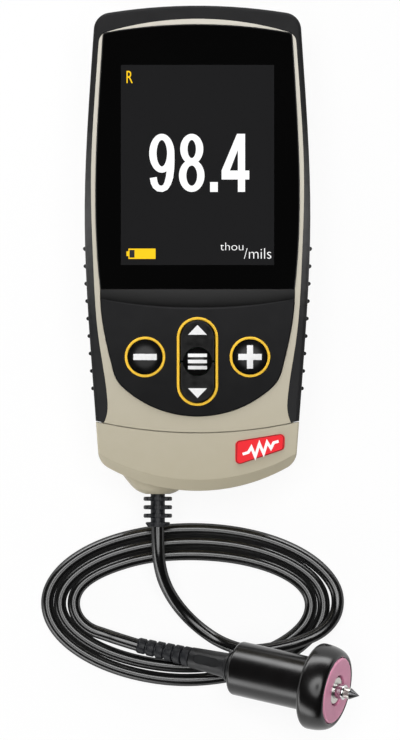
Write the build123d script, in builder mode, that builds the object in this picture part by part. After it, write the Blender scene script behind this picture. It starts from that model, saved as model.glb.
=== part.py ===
from build123d import *
import math
import os

os.makedirs("parts", exist_ok=True)

# A hand-held surface profile gauge with a cabled probe, in millimetres.
# The gauge lies on its back: the back face is on Z = 0, the display looks up, and the top end is towards +Y.

# Case outline: half widths at the stations of one side, from the top corner to the foot corner
case_top = 69.7
case_thickness = 24.6
shoulder_half_width = 29.4
upper_half_width = 30.7
case_half_width = 32.3
lower_half_width = 30.7
foot_half_width = 28.2
shoulder_y = 67.0
upper_y = 48.0
widest_y = 10.0
lower_y = -27.4
foot_corner_y = -60.9
foot_arc_radius = 52.5
top_corner_radius = 5.0
foot_corner_radius = 5.5
front_round = 1.2
back_round = 4.0
cap_back_round = 3.0

# Walls, split and seam
wall = 2.0
back_wall = 2.0
front_wall = 2.8
split_z = 13.0
end_wall = 2.0
seam_centre_y = -52.5
seam_radius = 131.0
seam_gap = 0.3
rim_inset = 1.5
rim_width = 1.2
rim_length = 1.4
rim_fit = 0.15

# Rubber grip over both sides and the top
grip_thickness = 1.4
grip_low_z = 3.2
lip_thickness = 1.2
lip_top_inset = 3.8
lip_corner_radius = 3.2
lip_insets = [
    (61.5, 1.7), (42.0, 1.6), (19.8, 1.7), (-3.0, 2.2), (-26.0, 2.6), (-43.0, 3.8), (-46.6, 3.5), (-49.7, 2.3),
    (-53.0, 0.2),
]
rib_count = 9
rib_first_y = 0.2
rib_pitch = 5.0
rib_radius = 0.55
rib_height = 0.65
rib_low_z = 6.0
rib_high_z = 20.0

# Window over the display
window_top_inset = 5.4
window_corner_radius = 1.2
window_foot_y = -11.4
window_thickness = 1.6
window_proud = 0.2
window_fit = 0.1
ledge_width = 2.0
window_insets = [(61.8, 2.7), (42.0, 2.8), (19.8, 3.0), (window_foot_y, 3.9)]

# Keypad panel with the scooped band above it
keypad_foot_y = -47.8
keypad_proud = 0.4
keypad_depth = 2.6
keypad_fit = 0.1
keypad_insets = [(window_foot_y, 3.9), (-19.7, 3.9), (-28.1, 4.9), (-37.4, 6.5)]
keypad_corner_radius = 10.0
band_centre_y = -17.0
band_side_x = 25.6
band_side_y = -14.7
scoop_radius = 6.0
scoop_axis_y = -13.9
scoop_depth = 1.6

# Keys
key_x = 15.0
key_y = -30.8
key_radius = 4.9
key_crown = 0.9
key_edge_proud = 0.2
key_gap = 0.15
key_travel = 0.6
key_flange = 0.4
key_flange_thickness = 0.7
key_edge_round = 0.5
key_stem_radius = 1.6
key_stem_gap = 0.15
ring_width = 0.75
ring_proud = 0.12
ring_seat = 0.2
nav_y = -32.1
nav_width = 10.0
nav_height = 23.6
nav_crown = 0.45
nav_stem_shift = 1.2
menu_radius = 3.85
menu_gap = 0.3

# Display module, circuit board and the parts on it
board_z = 15.2
board_thickness = 1.6
board_edge_gap = 0.5
board_foot_y = -45.2
lcd_half_width = 24.6
lcd_foot_y = -9.4
lcd_top_y = 57.0
lcd_glass_thickness = 1.1
lcd_gap = 0.3
lcd_corner_radius = 1.0
dome_radius = 2.6
dome_top_radius = 1.6
dome_height = 0.55
chip_height = 1.2
chips = [
    ((-9.0, 30.0), (10.0, 10.0)),
    ((7.0, 18.0), (7.0, 7.0)),
    ((-12.0, 48.0), (6.0, 8.0)),
    ((-20.0, 12.0), (4.0, 6.0)),
]
buzzer_radius = 4.5
buzzer_height = 3.2
buzzer_hole_radius = 0.8
buzzer_hole_depth = 0.6
buzzer_x = 15.0
buzzer_y = 40.0
post_radius = 1.6
post_x = 25.0
post_y_top = 30.0
post_y_foot = -20.0

# Batteries, their bay and its sliding door
battery_radius = 5.2
battery_length = 43.6
battery_nub_radius = 1.9
battery_nub_height = 0.9
battery_count = 3
battery_pitch = 10.8
bay_top_y = -2.0
bay_foot_y = -49.5
bay_side_gap = 0.5
bay_half_width = battery_pitch * (battery_count - 1) / 2 + battery_radius + bay_side_gap
bay_wall = 1.6
contact_thickness = 0.4
contact_plate = 8.0
contact_spring_radius = 3.4
contact_gap = 0.1
battery_top_gap = 0.2
door_overlap = 2.3
door_half_width = bay_half_width + door_overlap
door_fit = 0.25
door_recess = 0.3
door_thickness = 1.5
tongue_width = 1.4
tongue_thickness = 0.6
door_overrun = 0.3
grip_line_count = 5
grip_line_pitch = 1.8
grip_line_length = 14.0
grip_line_width = 0.8
grip_line_depth = 0.4
grip_line_start = 9.0

# Housing screws
screw_x_top = 20.5
screw_y_top = 61.0
screw_x_foot = 23.0
screw_y_foot = -40.0
screw_radius = 1.1
screw_head_radius = 2.1
screw_head_height = 1.6
screw_length = 11.0
screw_tip_gap = 0.3
screw_recess_radius = 0.8
screw_recess_depth = 0.8
screw_fit = 0.05
boss_radius = 2.7
boss_clearance = 0.4

# Probe cap at the foot, with its plug, tag and cable boot
cap_wall = 2.2
cap_back_z = 2.3
cap_depth = 6.0
cap_crease_y = -66.0
cap_crease_radius = 56.7
cap_band_slope = 0.8
cap_crease_round = 0.5
cable_x = -11.4
cable_z = 12.0
cable_boss_end_y = -70.1
cable_boss_sections = [
    (9.1, 11.8, 8.6), (6.1, 10.6, 8.2), (4.1, 9.0, 7.6), (1.8, 7.0, 6.4), (0.5, 5.0, 4.8), (0, 3.6, 3.6),
]
plug_half_width = 7.0
plug_height = 5.4
plug_z = 17.2
plug_reach = 5.4
socket_fit = 0.3
socket_wall = 1.2
socket_back_wall = 1.4
pin_count = 6
pin_pitch = 2.1
pin_width = 0.9
pin_thickness = 0.15
pin_setback = 0.6
plug_chamfer = 0.4
tag_corners = [(10.9, -54.9), (25.0, -52.6), (24.8, -57.2), (10.8, -61.9)]
tag_corner_radius = 1.3
tag_thickness = 0.8
tag_seat = 0.4
tag_fit = 0.05
tag_chamfer = 0.15

# Cable and its boots
cable_diameter = 3.6
boot_length = 9.5
boot_core_radius = 2.05
boot_ring_radius = 4.1
boot_ring_thickness = 1.15
boot_ring_count = 4
boot_ring_pitch = 2.43
boot_first_ring = 1.4
boot_flange_radius = 4.0
boot_flange_thickness = 1.5

# Probe: its own axis runs from the barrel to the measuring face
face_x = 40.1
face_y = -126.3
barrel_rear_z = 7.3
probe_heading = -12.3
probe_tilt = 21.5
body_radius = 7.8
body_length = 23.9
body_edge_radius = 1.2
flange_radius = 12.5
flange_length = 8.0
flange_front_round = 6.2
flange_rear_chamfer = 0.4
flange_lip = 0.6
flange_lip_drop = 0.15
barrel_length = 14.0
barrel_radius = 3.0
barrel_front_radius = 3.6
collar_radius = 4.3
collar_length = 2.8
collar_chamfer = 0.4
groove_count = 2
groove_first = 0.7
groove_pitch = 0.9
groove_depth = 0.4
groove_width = 0.35
probe_bore_radius = 6.3
probe_rear_wall = 3.2
spigot_gap = 0.2
wear_ring_radius = 9.6
wear_ring_thickness = 3.0
wear_ring_bore = 4.5
wear_ring_chamfer = 0.5
ring_fit = 0.05
ring_back_gap = 0.2
sleeve_radius = 3.95
sleeve_front_s = -0.4
sleeve_rear_s = -16.0
sleeve_shoulder_thickness = 3.0
sleeve_bore_fit = 0.04
plunger_radius = 2.2
plunger_shoulder_radius = 3.1
plunger_proud = 2.4
plunger_chamfer = 0.4
tip_radius = 1.6
tip_proud = 6.8
tip_cone_length = 2.8
tip_socket_depth = 3.0
sleeve_chamfer = 0.3
plunger_stop_gap = 0.2
plunger_shoulder_thickness = 1.5
plunger_stem_radius = 1.4
plunger_stem_length = 3.2
probe_board_thickness = 1.0
spring_wire = 0.6
spring_radius = 2.3
spring_turns = 5
spring_end_gap = 0.1
panel_length = 8.0
panel_width = 2.6
panel_depth = 0.15
probe_boot_tip = (-17.3, -113.7, 3.6)
probe_boot_core_radius = 2.0
probe_boot_front_radius = 2.9
probe_boot_tip_radius = 2.2
probe_boot_rib_count = 6
probe_boot_groove = 0.6

# Cable route: points chosen by hand, and the outer form of the loose turns
lead_points = [
    (-11.4, -84.9, 12.0),
    (-11.0, -90.2, 10.6),
    (-9.7, -95.4, 7.8),
    (-7.2, -100.3, 4.9),
    (-3.6, -105.0, 2.8),
    (0.9, -109.2, 1.95),
    (6.2, -112.8, 1.8),
    (12.0, -114.9, 1.8),
    (17.0, -116.0, 1.8),
]
tail_run = 5.2
tail_points = [
    (-28.2, -110.8, 2.1),
    (-32.8, -107.0, 1.8),
]
coil_centre = (-1.4, -102.05)
coil_half_width = 43.7
coil_edge_radius = 1.4
coil_half_height = 23.4
coil_eye_centre = (-1.55, -103.5)
coil_eye_half_width = 32.4
coil_eye_half_height = 14.6


# Plans of the case, all symmetrical about X = 0

side_points = [
    (shoulder_half_width, shoulder_y),
    (upper_half_width, upper_y),
    (case_half_width, widest_y),
    (lower_half_width, lower_y),
    (foot_half_width, foot_corner_y),
]
case_side = Spline(*side_points)


def case_outline(inset):
    """The case's plan, drawn a distance inside its outer edge, or outside it where the inset is negative."""
    points = [(x - inset, y) for x, y in side_points]
    points[0] = (shoulder_half_width - inset, shoulder_y - inset)
    points[-1] = (foot_half_width - inset, foot_corner_y + inset)
    with BuildSketch() as plan:
        with BuildLine():
            right_side = Spline(*points)
            mirror(right_side, about=Plane.YZ)
            foot_end = right_side @ 1
            RadiusArc(foot_end, (-foot_end.X, foot_end.Y), foot_arc_radius - inset)
            top_end = right_side @ 0
            ThreePointArc(top_end, (0, case_top - inset), (-top_end.X, top_end.Y))
        make_face()
        fillet(plan.vertices().group_by(Axis.Y)[-1], radius=top_corner_radius - inset)
        fillet(plan.vertices().group_by(Axis.Y)[0], radius=foot_corner_radius - inset)
    return plan.sketch


def half_width(y):
    """Half of the case's width at a place along its length, read from the side curve."""
    low, high = 0.0, 1.0
    for _ in range(40):
        middle = (low + high) / 2
        if (case_side @ middle).Y > y:
            low = middle
        else:
            high = middle
    return (case_side @ low).X


def inset_points(insets):
    """Points that stand in from the case's side by a named inset at each place along it."""
    return [(half_width(y) - inset, y) for y, inset in insets]


case_plan = case_outline(0)
case_foot = case_plan.bounding_box().min.Y
core_plan = case_outline(grip_thickness)

with BuildSketch() as lip_plan:
    with BuildLine():
        lip_side = Spline(*inset_points(lip_insets))
        mirror(lip_side, about=Plane.YZ)
        lip_top = lip_side @ 0
        ThreePointArc(lip_top, (0, case_top - lip_top_inset), (-lip_top.X, lip_top.Y))
        lip_foot = lip_side @ 1
        Line(lip_foot, (-lip_foot.X, lip_foot.Y))
    make_face()
    fillet(lip_plan.vertices().group_by(Axis.Y)[-1], radius=lip_corner_radius)


def window_outline(inset):
    """The window's plan, drawn a distance inside its own edge."""
    with BuildSketch() as plan:
        with BuildLine():
            points = [(x - inset, y) for x, y in inset_points(window_insets)]
            points[0] = (points[0][0], points[0][1] - inset)
            points[-1] = (points[-1][0], points[-1][1] + inset)
            right_side = Spline(*points)
            mirror(right_side, about=Plane.YZ)
            top_end = right_side @ 0
            ThreePointArc(top_end, (0, case_top - window_top_inset - inset), (-top_end.X, top_end.Y))
            foot_end = right_side @ 1
            Line(foot_end, (-foot_end.X, foot_end.Y))
        make_face()
        fillet(plan.vertices().group_by(Axis.Y)[-1], radius=window_corner_radius)
    return plan.sketch


def keypad_outline(inset):
    """The keypad panel's plan, a straight edge over an arched foot, drawn a distance inside its own edge."""
    with BuildSketch() as plan:
        with BuildLine():
            points = [(x - inset, y) for x, y in inset_points(keypad_insets)]
            points[0] = (points[0][0], points[0][1] - inset)
            right_side = Spline(*points)
            mirror(right_side, about=Plane.YZ)
            foot_end = right_side @ 1
            ThreePointArc(foot_end, (0, keypad_foot_y + inset), (-foot_end.X, foot_end.Y))
            top_end = right_side @ 0
            Line(top_end, (-top_end.X, top_end.Y))
        make_face()
        fillet(plan.vertices().group_by(Axis.Y)[0], radius=keypad_corner_radius - inset)
    return plan.sketch


window_plan = window_outline(0)
keypad_plan = keypad_outline(0)


def seam_y(x):
    """Place of the seam between the case and the probe cap, a shallow arc."""
    return seam_centre_y + seam_radius - math.sqrt(seam_radius**2 - x**2)


def below_seam(shift):
    """Adds all the ground below the seam, moved by a shift along Y, to the active sketch."""
    reach = case_half_width * 1.3
    with Locations((0, seam_y(reach) + shift - case_top / 2)):
        Rectangle(2 * reach, case_top)
    with Locations((0, seam_centre_y + seam_radius + shift)):
        Circle(seam_radius, mode=Mode.SUBTRACT)


with BuildSketch() as cap_ground:
    below_seam(-seam_gap / 2)

with BuildSketch() as case_ground:
    below_seam(seam_gap / 2)

with BuildSketch() as end_wall_ground:
    below_seam(end_wall)

with BuildSketch() as cavity_plan:
    add(case_outline(grip_thickness + wall))
    add(end_wall_ground.sketch, mode=Mode.SUBTRACT)

with BuildSketch() as rim_end_ground:
    below_seam(-rim_length)

with BuildSketch() as rim_seat_ground:
    below_seam(-rim_length - rim_fit)

rib_rows = [rib_first_y - rib_pitch * row for row in range(rib_count)]

with BuildSketch() as rib_plan:
    for rib_y in rib_rows:
        rib_x = half_width(rib_y) + rib_height - rib_radius
        with Locations((-rib_x, rib_y), (rib_x, rib_y)):
            Circle(rib_radius)


# Outer form of the whole case, before it is divided into its pieces

with BuildPart() as case_form:
    with BuildSketch():
        add(case_plan)
    extrude(amount=case_thickness)
    fillet(case_form.faces().sort_by(Axis.Z)[-1].edges(), radius=front_round)
    fillet(case_form.faces().sort_by(Axis.Z)[0].edges(), radius=back_round)


# Rim: a ring that stands out of the case's end and enters the mouth of the probe cap

rim_low_z = cap_back_z + rim_inset
rim_height = case_thickness - rim_inset - rim_low_z

with BuildPart() as case_rim:
    with BuildSketch(Plane.XY.offset(rim_low_z)):
        add(case_outline(rim_inset))
    extrude(amount=rim_height)
    with BuildSketch(Plane.XY.offset(rim_low_z + rim_width)):
        add(case_outline(rim_inset + rim_width))
    extrude(amount=rim_height - 2 * rim_width, mode=Mode.SUBTRACT)
    with BuildSketch():
        add(case_ground.sketch)
        add(rim_end_ground.sketch, mode=Mode.SUBTRACT)
    extrude(amount=case_thickness, mode=Mode.INTERSECT)


# Rubber grip: a horseshoe over both sides and the top, with a lip on the front and beads on the sides

with BuildPart() as side_grip:
    add(case_form.part)
    with BuildSketch():
        Rectangle(case_half_width * 4, case_top * 4)
    extrude(amount=grip_low_z, mode=Mode.SUBTRACT)
    with BuildSketch(Plane.XY.offset(grip_low_z)):
        add(core_plan)
    extrude(amount=case_thickness - lip_thickness - grip_low_z, mode=Mode.SUBTRACT)
    with BuildSketch(Plane.XY.offset(case_thickness - lip_thickness)):
        add(lip_plan.sketch)
    extrude(amount=lip_thickness, mode=Mode.SUBTRACT)
    with BuildSketch(Plane.XY.offset(rib_low_z)):
        add(rib_plan.sketch)
    extrude(amount=rib_high_z - rib_low_z)
    with BuildSketch():
        add(case_ground.sketch)
    extrude(amount=case_thickness, mode=Mode.SUBTRACT)

side_grip.part.label = "side_grip"
export_step(side_grip.part, "parts/side_grip.step")


# Screw places: two by the top corners and two beside the battery bay

screw_places = [
    (side * x, y) for x, y in [(screw_x_top, screw_y_top), (screw_x_foot, screw_y_foot)] for side in (-1, 1)
]
screw_seat_z = back_wall + screw_head_height


# Rear housing: the back shell, with the battery bay, its door's rails, the screw bosses and the board's posts

rail_low_z = door_recess + (door_thickness - tongue_thickness) / 2
bay_floor_z = door_recess + door_thickness + door_fit
post_places = [(side * post_x, y) for y in (post_y_top, post_y_foot) for side in (-1, 1)]
bay_mid_y = (bay_top_y + bay_foot_y) / 2
bay_length = bay_top_y - bay_foot_y

with BuildPart() as rear_housing:
    add(case_form.part)
    with BuildSketch(Plane.XY.offset(split_z)):
        Rectangle(case_half_width * 4, case_top * 4)
    extrude(amount=case_thickness, mode=Mode.SUBTRACT)
    with BuildSketch(Plane.XY.offset(back_wall)):
        add(cavity_plan.sketch)
    extrude(amount=split_z, mode=Mode.SUBTRACT)
    with BuildSketch(Plane.XY.offset(back_wall)):
        with Locations((0, bay_mid_y)):
            Rectangle(2 * (door_half_width + tongue_width + bay_wall), bay_length + 2 * bay_wall)
    extrude(amount=split_z - back_wall)
    with BuildSketch():
        with Locations((0, bay_mid_y)):
            Rectangle(2 * bay_half_width, bay_length)
    extrude(amount=split_z, mode=Mode.SUBTRACT)
    with BuildSketch(Plane.XY.offset(back_wall)):
        with Locations(*screw_places):
            Circle(boss_radius)
    extrude(amount=split_z - back_wall)
    with BuildSketch(Plane.XY.offset(back_wall)):
        with Locations(*post_places):
            Circle(post_radius)
    extrude(amount=board_z - back_wall)
    with Locations(*[(x, y, 0) for x, y in screw_places]):
        Cylinder(
            screw_head_radius + screw_fit, screw_seat_z, align=(Align.CENTER, Align.CENTER, Align.MIN),
            mode=Mode.SUBTRACT,
        )
        Cylinder(
            screw_radius + screw_fit, split_z, align=(Align.CENTER, Align.CENTER, Align.MIN), mode=Mode.SUBTRACT
        )
    with BuildSketch():
        with Locations((0, bay_top_y - case_top)):
            Rectangle(2 * (door_half_width + door_fit), 2 * case_top)
    extrude(amount=bay_floor_z, mode=Mode.SUBTRACT)
    with BuildSketch(Plane.XY.offset(rail_low_z - door_fit)):
        with Locations((0, bay_top_y - case_top)):
            Rectangle(2 * (door_half_width + tongue_width + door_fit), 2 * case_top)
    extrude(amount=tongue_thickness + 2 * door_fit, mode=Mode.SUBTRACT)
    add(side_grip.part, mode=Mode.SUBTRACT)
    with BuildSketch():
        add(case_ground.sketch)
    extrude(amount=case_thickness, mode=Mode.SUBTRACT)
    add(split(case_rim.part, bisect_by=Plane.XY.offset(split_z), keep=Keep.BOTTOM, mode=Mode.PRIVATE))

rear_housing.part.label = "rear_housing"
export_step(rear_housing.part, "parts/rear_housing.step")


# Front housing: the front shell, recessed for the window and the keypad panel, with screw bosses behind

window_low_z = case_thickness + window_proud - window_thickness
keypad_low_z = case_thickness + keypad_proud - keypad_depth
front_inner_z = case_thickness - front_wall
deep = 2 * case_thickness

socket_half_width = plug_half_width + socket_fit + socket_wall
socket_half_height = plug_height / 2 + socket_fit + socket_wall
socket_mouth_y = seam_centre_y + seam_gap
socket_foot_y = board_foot_y

with BuildPart() as front_housing:
    add(case_form.part)
    with BuildSketch():
        Rectangle(case_half_width * 4, case_top * 4)
    extrude(amount=split_z, mode=Mode.SUBTRACT)
    with BuildSketch(Plane.XY.offset(split_z)):
        add(cavity_plan.sketch)
    extrude(amount=front_inner_z - split_z, mode=Mode.SUBTRACT)
    with BuildSketch(Plane.XY.offset(split_z)):
        with Locations(*screw_places):
            Circle(boss_radius)
    extrude(amount=front_inner_z - split_z)
    with BuildSketch(Plane.XY.offset(window_low_z)):
        add(window_outline(-window_fit))
    extrude(amount=case_thickness, mode=Mode.SUBTRACT)
    with BuildSketch(Plane.XY.offset(keypad_low_z)):
        add(keypad_outline(-keypad_fit))
    extrude(amount=case_thickness, mode=Mode.SUBTRACT)
    with BuildSketch(Plane.XY.offset(split_z)):
        add(window_outline(ledge_width))
        add(keypad_outline(ledge_width))
    extrude(amount=case_thickness, mode=Mode.SUBTRACT)
    with Locations(*[(x, y, 0) for x, y in screw_places]):
        Cylinder(
            screw_radius + screw_fit, screw_seat_z + screw_length,
            align=(Align.CENTER, Align.CENTER, Align.MIN), mode=Mode.SUBTRACT,
        )
    with Locations((0, socket_mouth_y, plug_z)):
        Box(
            2 * (socket_half_width + socket_fit), 4 * end_wall + 2 * seam_gap, 2 * (socket_half_height + socket_fit),
            mode=Mode.SUBTRACT,
        )
    add(side_grip.part, mode=Mode.SUBTRACT)
    with BuildSketch():
        add(case_ground.sketch)
    extrude(amount=case_thickness, mode=Mode.SUBTRACT)
    add(split(case_rim.part, bisect_by=Plane.XY.offset(split_z), keep=Keep.TOP, mode=Mode.PRIVATE))

front_housing.part.label = "front_housing"
export_step(front_housing.part, "parts/front_housing.step")


# Window: a flat plate that covers the display, with a narrow chamfer round its face

with BuildPart() as display_window:
    with BuildSketch(Plane.XY.offset(window_low_z)):
        add(window_plan)
    extrude(amount=window_thickness)
    chamfer(display_window.faces().sort_by(Axis.Z)[-1].edges(), length=window_proud)

display_window.part.label = "display_window"
export_step(display_window.part, "parts/display_window.step")


# Keypad panel: a U-shaped plate with a scooped band along its top and openings for the keys

keypad_top_z = case_thickness + keypad_proud
key_places = {"minus_key": -key_x, "plus_key": key_x}
ring_radius = key_radius + key_gap + ring_width
nav_ring_width = nav_width + 2 * (key_gap + ring_width)
nav_ring_height = nav_height + 2 * (key_gap + ring_width)

with BuildSketch() as band_plan:
    with BuildLine():
        band_arc = ThreePointArc(
            (-band_side_x, band_side_y), (0, band_centre_y), (band_side_x, band_side_y)
        )
        Polyline(
            band_arc @ 1, (case_half_width, band_side_y), (case_half_width, window_foot_y + keypad_fit),
            (-case_half_width, window_foot_y + keypad_fit), (-case_half_width, band_side_y), band_arc @ 0,
        )
    make_face()

with BuildSketch() as key_openings:
    with Locations(*[(x, key_y) for x in key_places.values()]):
        Circle(key_radius + key_gap)
    with Locations((0, nav_y)):
        SlotOverall(nav_height + 2 * key_gap, nav_width + 2 * key_gap, rotation=90)

with BuildSketch() as ring_plan:
    with Locations(*[(x, key_y) for x in key_places.values()]):
        Circle(ring_radius)
    with Locations((0, nav_y)):
        SlotOverall(nav_ring_height, nav_ring_width, rotation=90)
    add(key_openings.sketch, mode=Mode.SUBTRACT)

with BuildPart() as scoop:
    with BuildSketch():
        add(band_plan.sketch)
    extrude(amount=deep)
    with Locations((0, scoop_axis_y, keypad_top_z - scoop_depth + scoop_radius)):
        Cylinder(scoop_radius, case_half_width * 3, rotation=(0, 90, 0), mode=Mode.INTERSECT)

with BuildPart() as keypad_panel:
    with BuildSketch(Plane.XY.offset(keypad_low_z)):
        add(keypad_plan)
    extrude(amount=keypad_depth)
    fillet(keypad_panel.faces().sort_by(Axis.Z)[-1].edges().filter_by(GeomType.BSPLINE), radius=keypad_proud)
    add(scoop.part, mode=Mode.SUBTRACT)
    with BuildSketch(Plane.XY.offset(keypad_low_z)):
        add(key_openings.sketch)
    extrude(amount=keypad_depth, mode=Mode.SUBTRACT)
    with BuildSketch(Plane.XY.offset(keypad_top_z - ring_seat)):
        add(ring_plan.sketch)
    extrude(amount=ring_seat, mode=Mode.SUBTRACT)

keypad_panel.part.label = "keypad_panel"
export_step(keypad_panel.part, "parts/keypad_panel.step")

with BuildPart() as key_rings:
    with BuildSketch(Plane.XY.offset(keypad_top_z - ring_seat)):
        add(ring_plan.sketch)
    extrude(amount=ring_seat + ring_proud)

key_rings.part.label = "key_rings"
export_step(key_rings.part, "parts/key_rings.step")


# Keys: crowned caps with a flange under the panel and a stem over their switch

key_low_z = keypad_low_z - key_gap - key_flange_thickness
key_stem_z = board_z + board_thickness + dome_height + key_travel + key_stem_gap
key_edge_z = keypad_top_z + key_edge_proud
key_stem_places = {
    "minus_key": (-key_x, key_y),
    "plus_key": (key_x, key_y),
    "menu_key": (0, nav_y),
    "up_key": (0, nav_y + nav_height / 2 - nav_width / 2 + nav_stem_shift),
    "down_key": (0, nav_y - nav_height / 2 + nav_width / 2 - nav_stem_shift),
}

for key_name, radius, flange in [
    ("minus_key", key_radius, key_flange),
    ("plus_key", key_radius, key_flange),
    ("menu_key", menu_radius, menu_gap / 3),
]:
    place = key_stem_places[key_name]
    with BuildPart() as round_key:
        with BuildSketch(Plane.XZ.offset(-place[1])):
            with BuildLine():
                crown = TangentArc(
                    (place[0], key_edge_z + key_crown), (place[0] + radius, key_edge_z), tangent=(1, 0)
                )
                Polyline(
                    crown @ 1,
                    (place[0] + radius, keypad_low_z - key_gap),
                    (place[0] + radius + flange, keypad_low_z - key_gap),
                    (place[0] + radius + flange, key_low_z),
                    (place[0] + key_stem_radius, key_low_z),
                    (place[0] + key_stem_radius, key_stem_z),
                    (place[0], key_stem_z),
                    crown @ 0,
                )
            make_face()
        revolve(axis=Axis((place[0], place[1], 0), (0, 0, 1)))
    round_key.part.label = key_name
    export_step(round_key.part, "parts/" + key_name + ".step")

for key_name, side in [("up_key", 1), ("down_key", -1)]:
    half_centre = (0, nav_y + side * (nav_height / 2 + menu_gap))
    with BuildSketch() as nav_key_plan:
        with Locations((0, nav_y)):
            SlotOverall(nav_height, nav_width, rotation=90)
        with Locations(half_centre):
            Rectangle(2 * nav_width, nav_height, mode=Mode.INTERSECT)
        with Locations((0, nav_y)):
            Circle(menu_radius + menu_gap, mode=Mode.SUBTRACT)
    with BuildPart() as nav_key:
        with BuildSketch(Plane.XY.offset(key_low_z)):
            add(nav_key_plan.sketch)
        extrude(amount=key_edge_z + nav_crown - key_low_z)
        with BuildSketch(Plane.XY.offset(key_low_z)):
            with Locations((0, nav_y)):
                SlotOverall(nav_height + 2 * key_flange, nav_width + 2 * key_flange, rotation=90)
            with Locations(half_centre):
                Rectangle(2 * nav_width, nav_height, mode=Mode.INTERSECT)
            with Locations((0, nav_y)):
                Circle(menu_radius + menu_gap, mode=Mode.SUBTRACT)
        extrude(amount=key_flange_thickness)
        top_edges = nav_key.faces().sort_by(Axis.Z)[-1].edges()
        fillet(top_edges.sort_by(Axis.Y)[-1 if side > 0 else 0], radius=key_edge_round)
        with BuildSketch(Plane.XY.offset(key_stem_z)):
            with Locations(key_stem_places[key_name]):
                Circle(key_stem_radius)
        extrude(amount=key_low_z - key_stem_z)
    nav_key.part.label = key_name
    export_step(nav_key.part, "parts/" + key_name + ".step")


# Display module: its frame on the board, and the glass that fills the ledge behind the window

lcd_mid_y = (lcd_foot_y + lcd_top_y) / 2
lcd_length = lcd_top_y - lcd_foot_y
board_top_z = board_z + board_thickness
lcd_top_z = window_low_z - lcd_gap
lcd_frame_top_z = lcd_top_z - lcd_glass_thickness

with BuildPart() as display_frame:
    with BuildSketch(Plane.XY.offset(board_top_z)):
        with Locations((0, lcd_mid_y)):
            RectangleRounded(2 * lcd_half_width, lcd_length, lcd_corner_radius)
    extrude(amount=lcd_frame_top_z - board_top_z)

display_frame.part.label = "display_frame"
export_step(display_frame.part, "parts/display_frame.step")

with BuildPart() as display_glass:
    with BuildSketch(Plane.XY.offset(lcd_frame_top_z)):
        with Locations((0, lcd_mid_y)):
            Rectangle(2 * (lcd_half_width - lcd_gap), lcd_length - 2 * lcd_gap)
    extrude(amount=lcd_glass_thickness)

display_glass.part.label = "display_glass"
export_step(display_glass.part, "parts/display_glass.step")


# Circuit board on the posts of the rear housing, with notches round the screw bosses

with BuildPart() as circuit_board:
    with BuildSketch(Plane.XY.offset(board_z)):
        add(case_outline(grip_thickness + wall + board_edge_gap))
        with Locations((0, board_foot_y - case_top)):
            Rectangle(case_half_width * 3, 2 * case_top, mode=Mode.SUBTRACT)
        with Locations(*screw_places):
            Circle(boss_radius + boss_clearance, mode=Mode.SUBTRACT)
    extrude(amount=board_thickness)

circuit_board.part.label = "circuit_board"
export_step(circuit_board.part, "parts/circuit_board.step")

with BuildPart() as dome_switches:
    with Locations(*[(x, y, board_top_z) for x, y in key_stem_places.values()]):
        Cone(dome_radius, dome_top_radius, dome_height, align=(Align.CENTER, Align.CENTER, Align.MIN))

dome_switches.part.label = "dome_switches"
export_step(dome_switches.part, "parts/dome_switches.step")

with BuildPart() as board_chips:
    with BuildSketch(Plane.XY.offset(board_z - chip_height)):
        for chip_place, chip_size in chips:
            with Locations(chip_place):
                Rectangle(*chip_size)
    extrude(amount=chip_height)

board_chips.part.label = "board_chips"
export_step(board_chips.part, "parts/board_chips.step")

with BuildPart() as buzzer:
    with Locations((buzzer_x, buzzer_y, board_z - buzzer_height)):
        Cylinder(buzzer_radius, buzzer_height, align=(Align.CENTER, Align.CENTER, Align.MIN))
        Cylinder(
            buzzer_hole_radius, buzzer_hole_depth, align=(Align.CENTER, Align.CENTER, Align.MIN),
            mode=Mode.SUBTRACT,
        )

buzzer.part.label = "buzzer"
export_step(buzzer.part, "parts/buzzer.step")


# Socket in the end of the case, open towards the probe cap

socket_length = socket_foot_y - socket_mouth_y

with BuildPart() as probe_socket:
    with Locations((0, (socket_foot_y + socket_mouth_y) / 2, plug_z)):
        Box(2 * socket_half_width, socket_length, 2 * socket_half_height)
    with Locations((0, socket_mouth_y, plug_z)):
        Box(
            2 * (plug_half_width + socket_fit), 2 * (socket_length - socket_back_wall),
            plug_height + 2 * socket_fit, mode=Mode.SUBTRACT,
        )

probe_socket.part.label = "probe_socket"
export_step(probe_socket.part, "parts/probe_socket.step")


# Batteries side by side, the contacts at both ends of the bay, and the sliding door under them

battery_z = split_z - battery_radius - battery_top_gap
battery_rows = [
    (battery_pitch * (row - (battery_count - 1) / 2), 1 if row % 2 == 0 else -1) for row in range(battery_count)
]
battery_offset = bay_length / 2 - contact_thickness - battery_nub_height - battery_length / 2
spring_length = bay_length - 2 * contact_thickness - battery_nub_height - battery_length - contact_gap

with BuildPart() as batteries:
    for x, nub_side in battery_rows:
        body_y = bay_mid_y + nub_side * battery_offset
        nub_y = body_y + nub_side * (battery_length + battery_nub_height) / 2
        with Locations(Location((x, body_y, battery_z), (90, 0, 0))):
            Cylinder(battery_radius, battery_length)
        with Locations(Location((x, nub_y, battery_z), (90, 0, 0))):
            Cylinder(battery_nub_radius, battery_nub_height)

batteries.part.label = "batteries"
export_step(batteries.part, "parts/batteries.step")

with BuildPart() as battery_contacts:
    for x, nub_side in battery_rows:
        for plate_y in (bay_top_y - contact_thickness / 2, bay_foot_y + contact_thickness / 2):
            with Locations((x, plate_y, battery_z)):
                Box(contact_plate, contact_thickness, contact_plate)
        spring_y = bay_mid_y - nub_side * (bay_length / 2 - contact_thickness - spring_length / 2)
        with Locations(Location((x, spring_y, battery_z), (nub_side * 90, 0, 0))):
            Cone(contact_spring_radius, battery_nub_radius, spring_length)

battery_contacts.part.label = "battery_contacts"
export_step(battery_contacts.part, "parts/battery_contacts.step")

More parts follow.
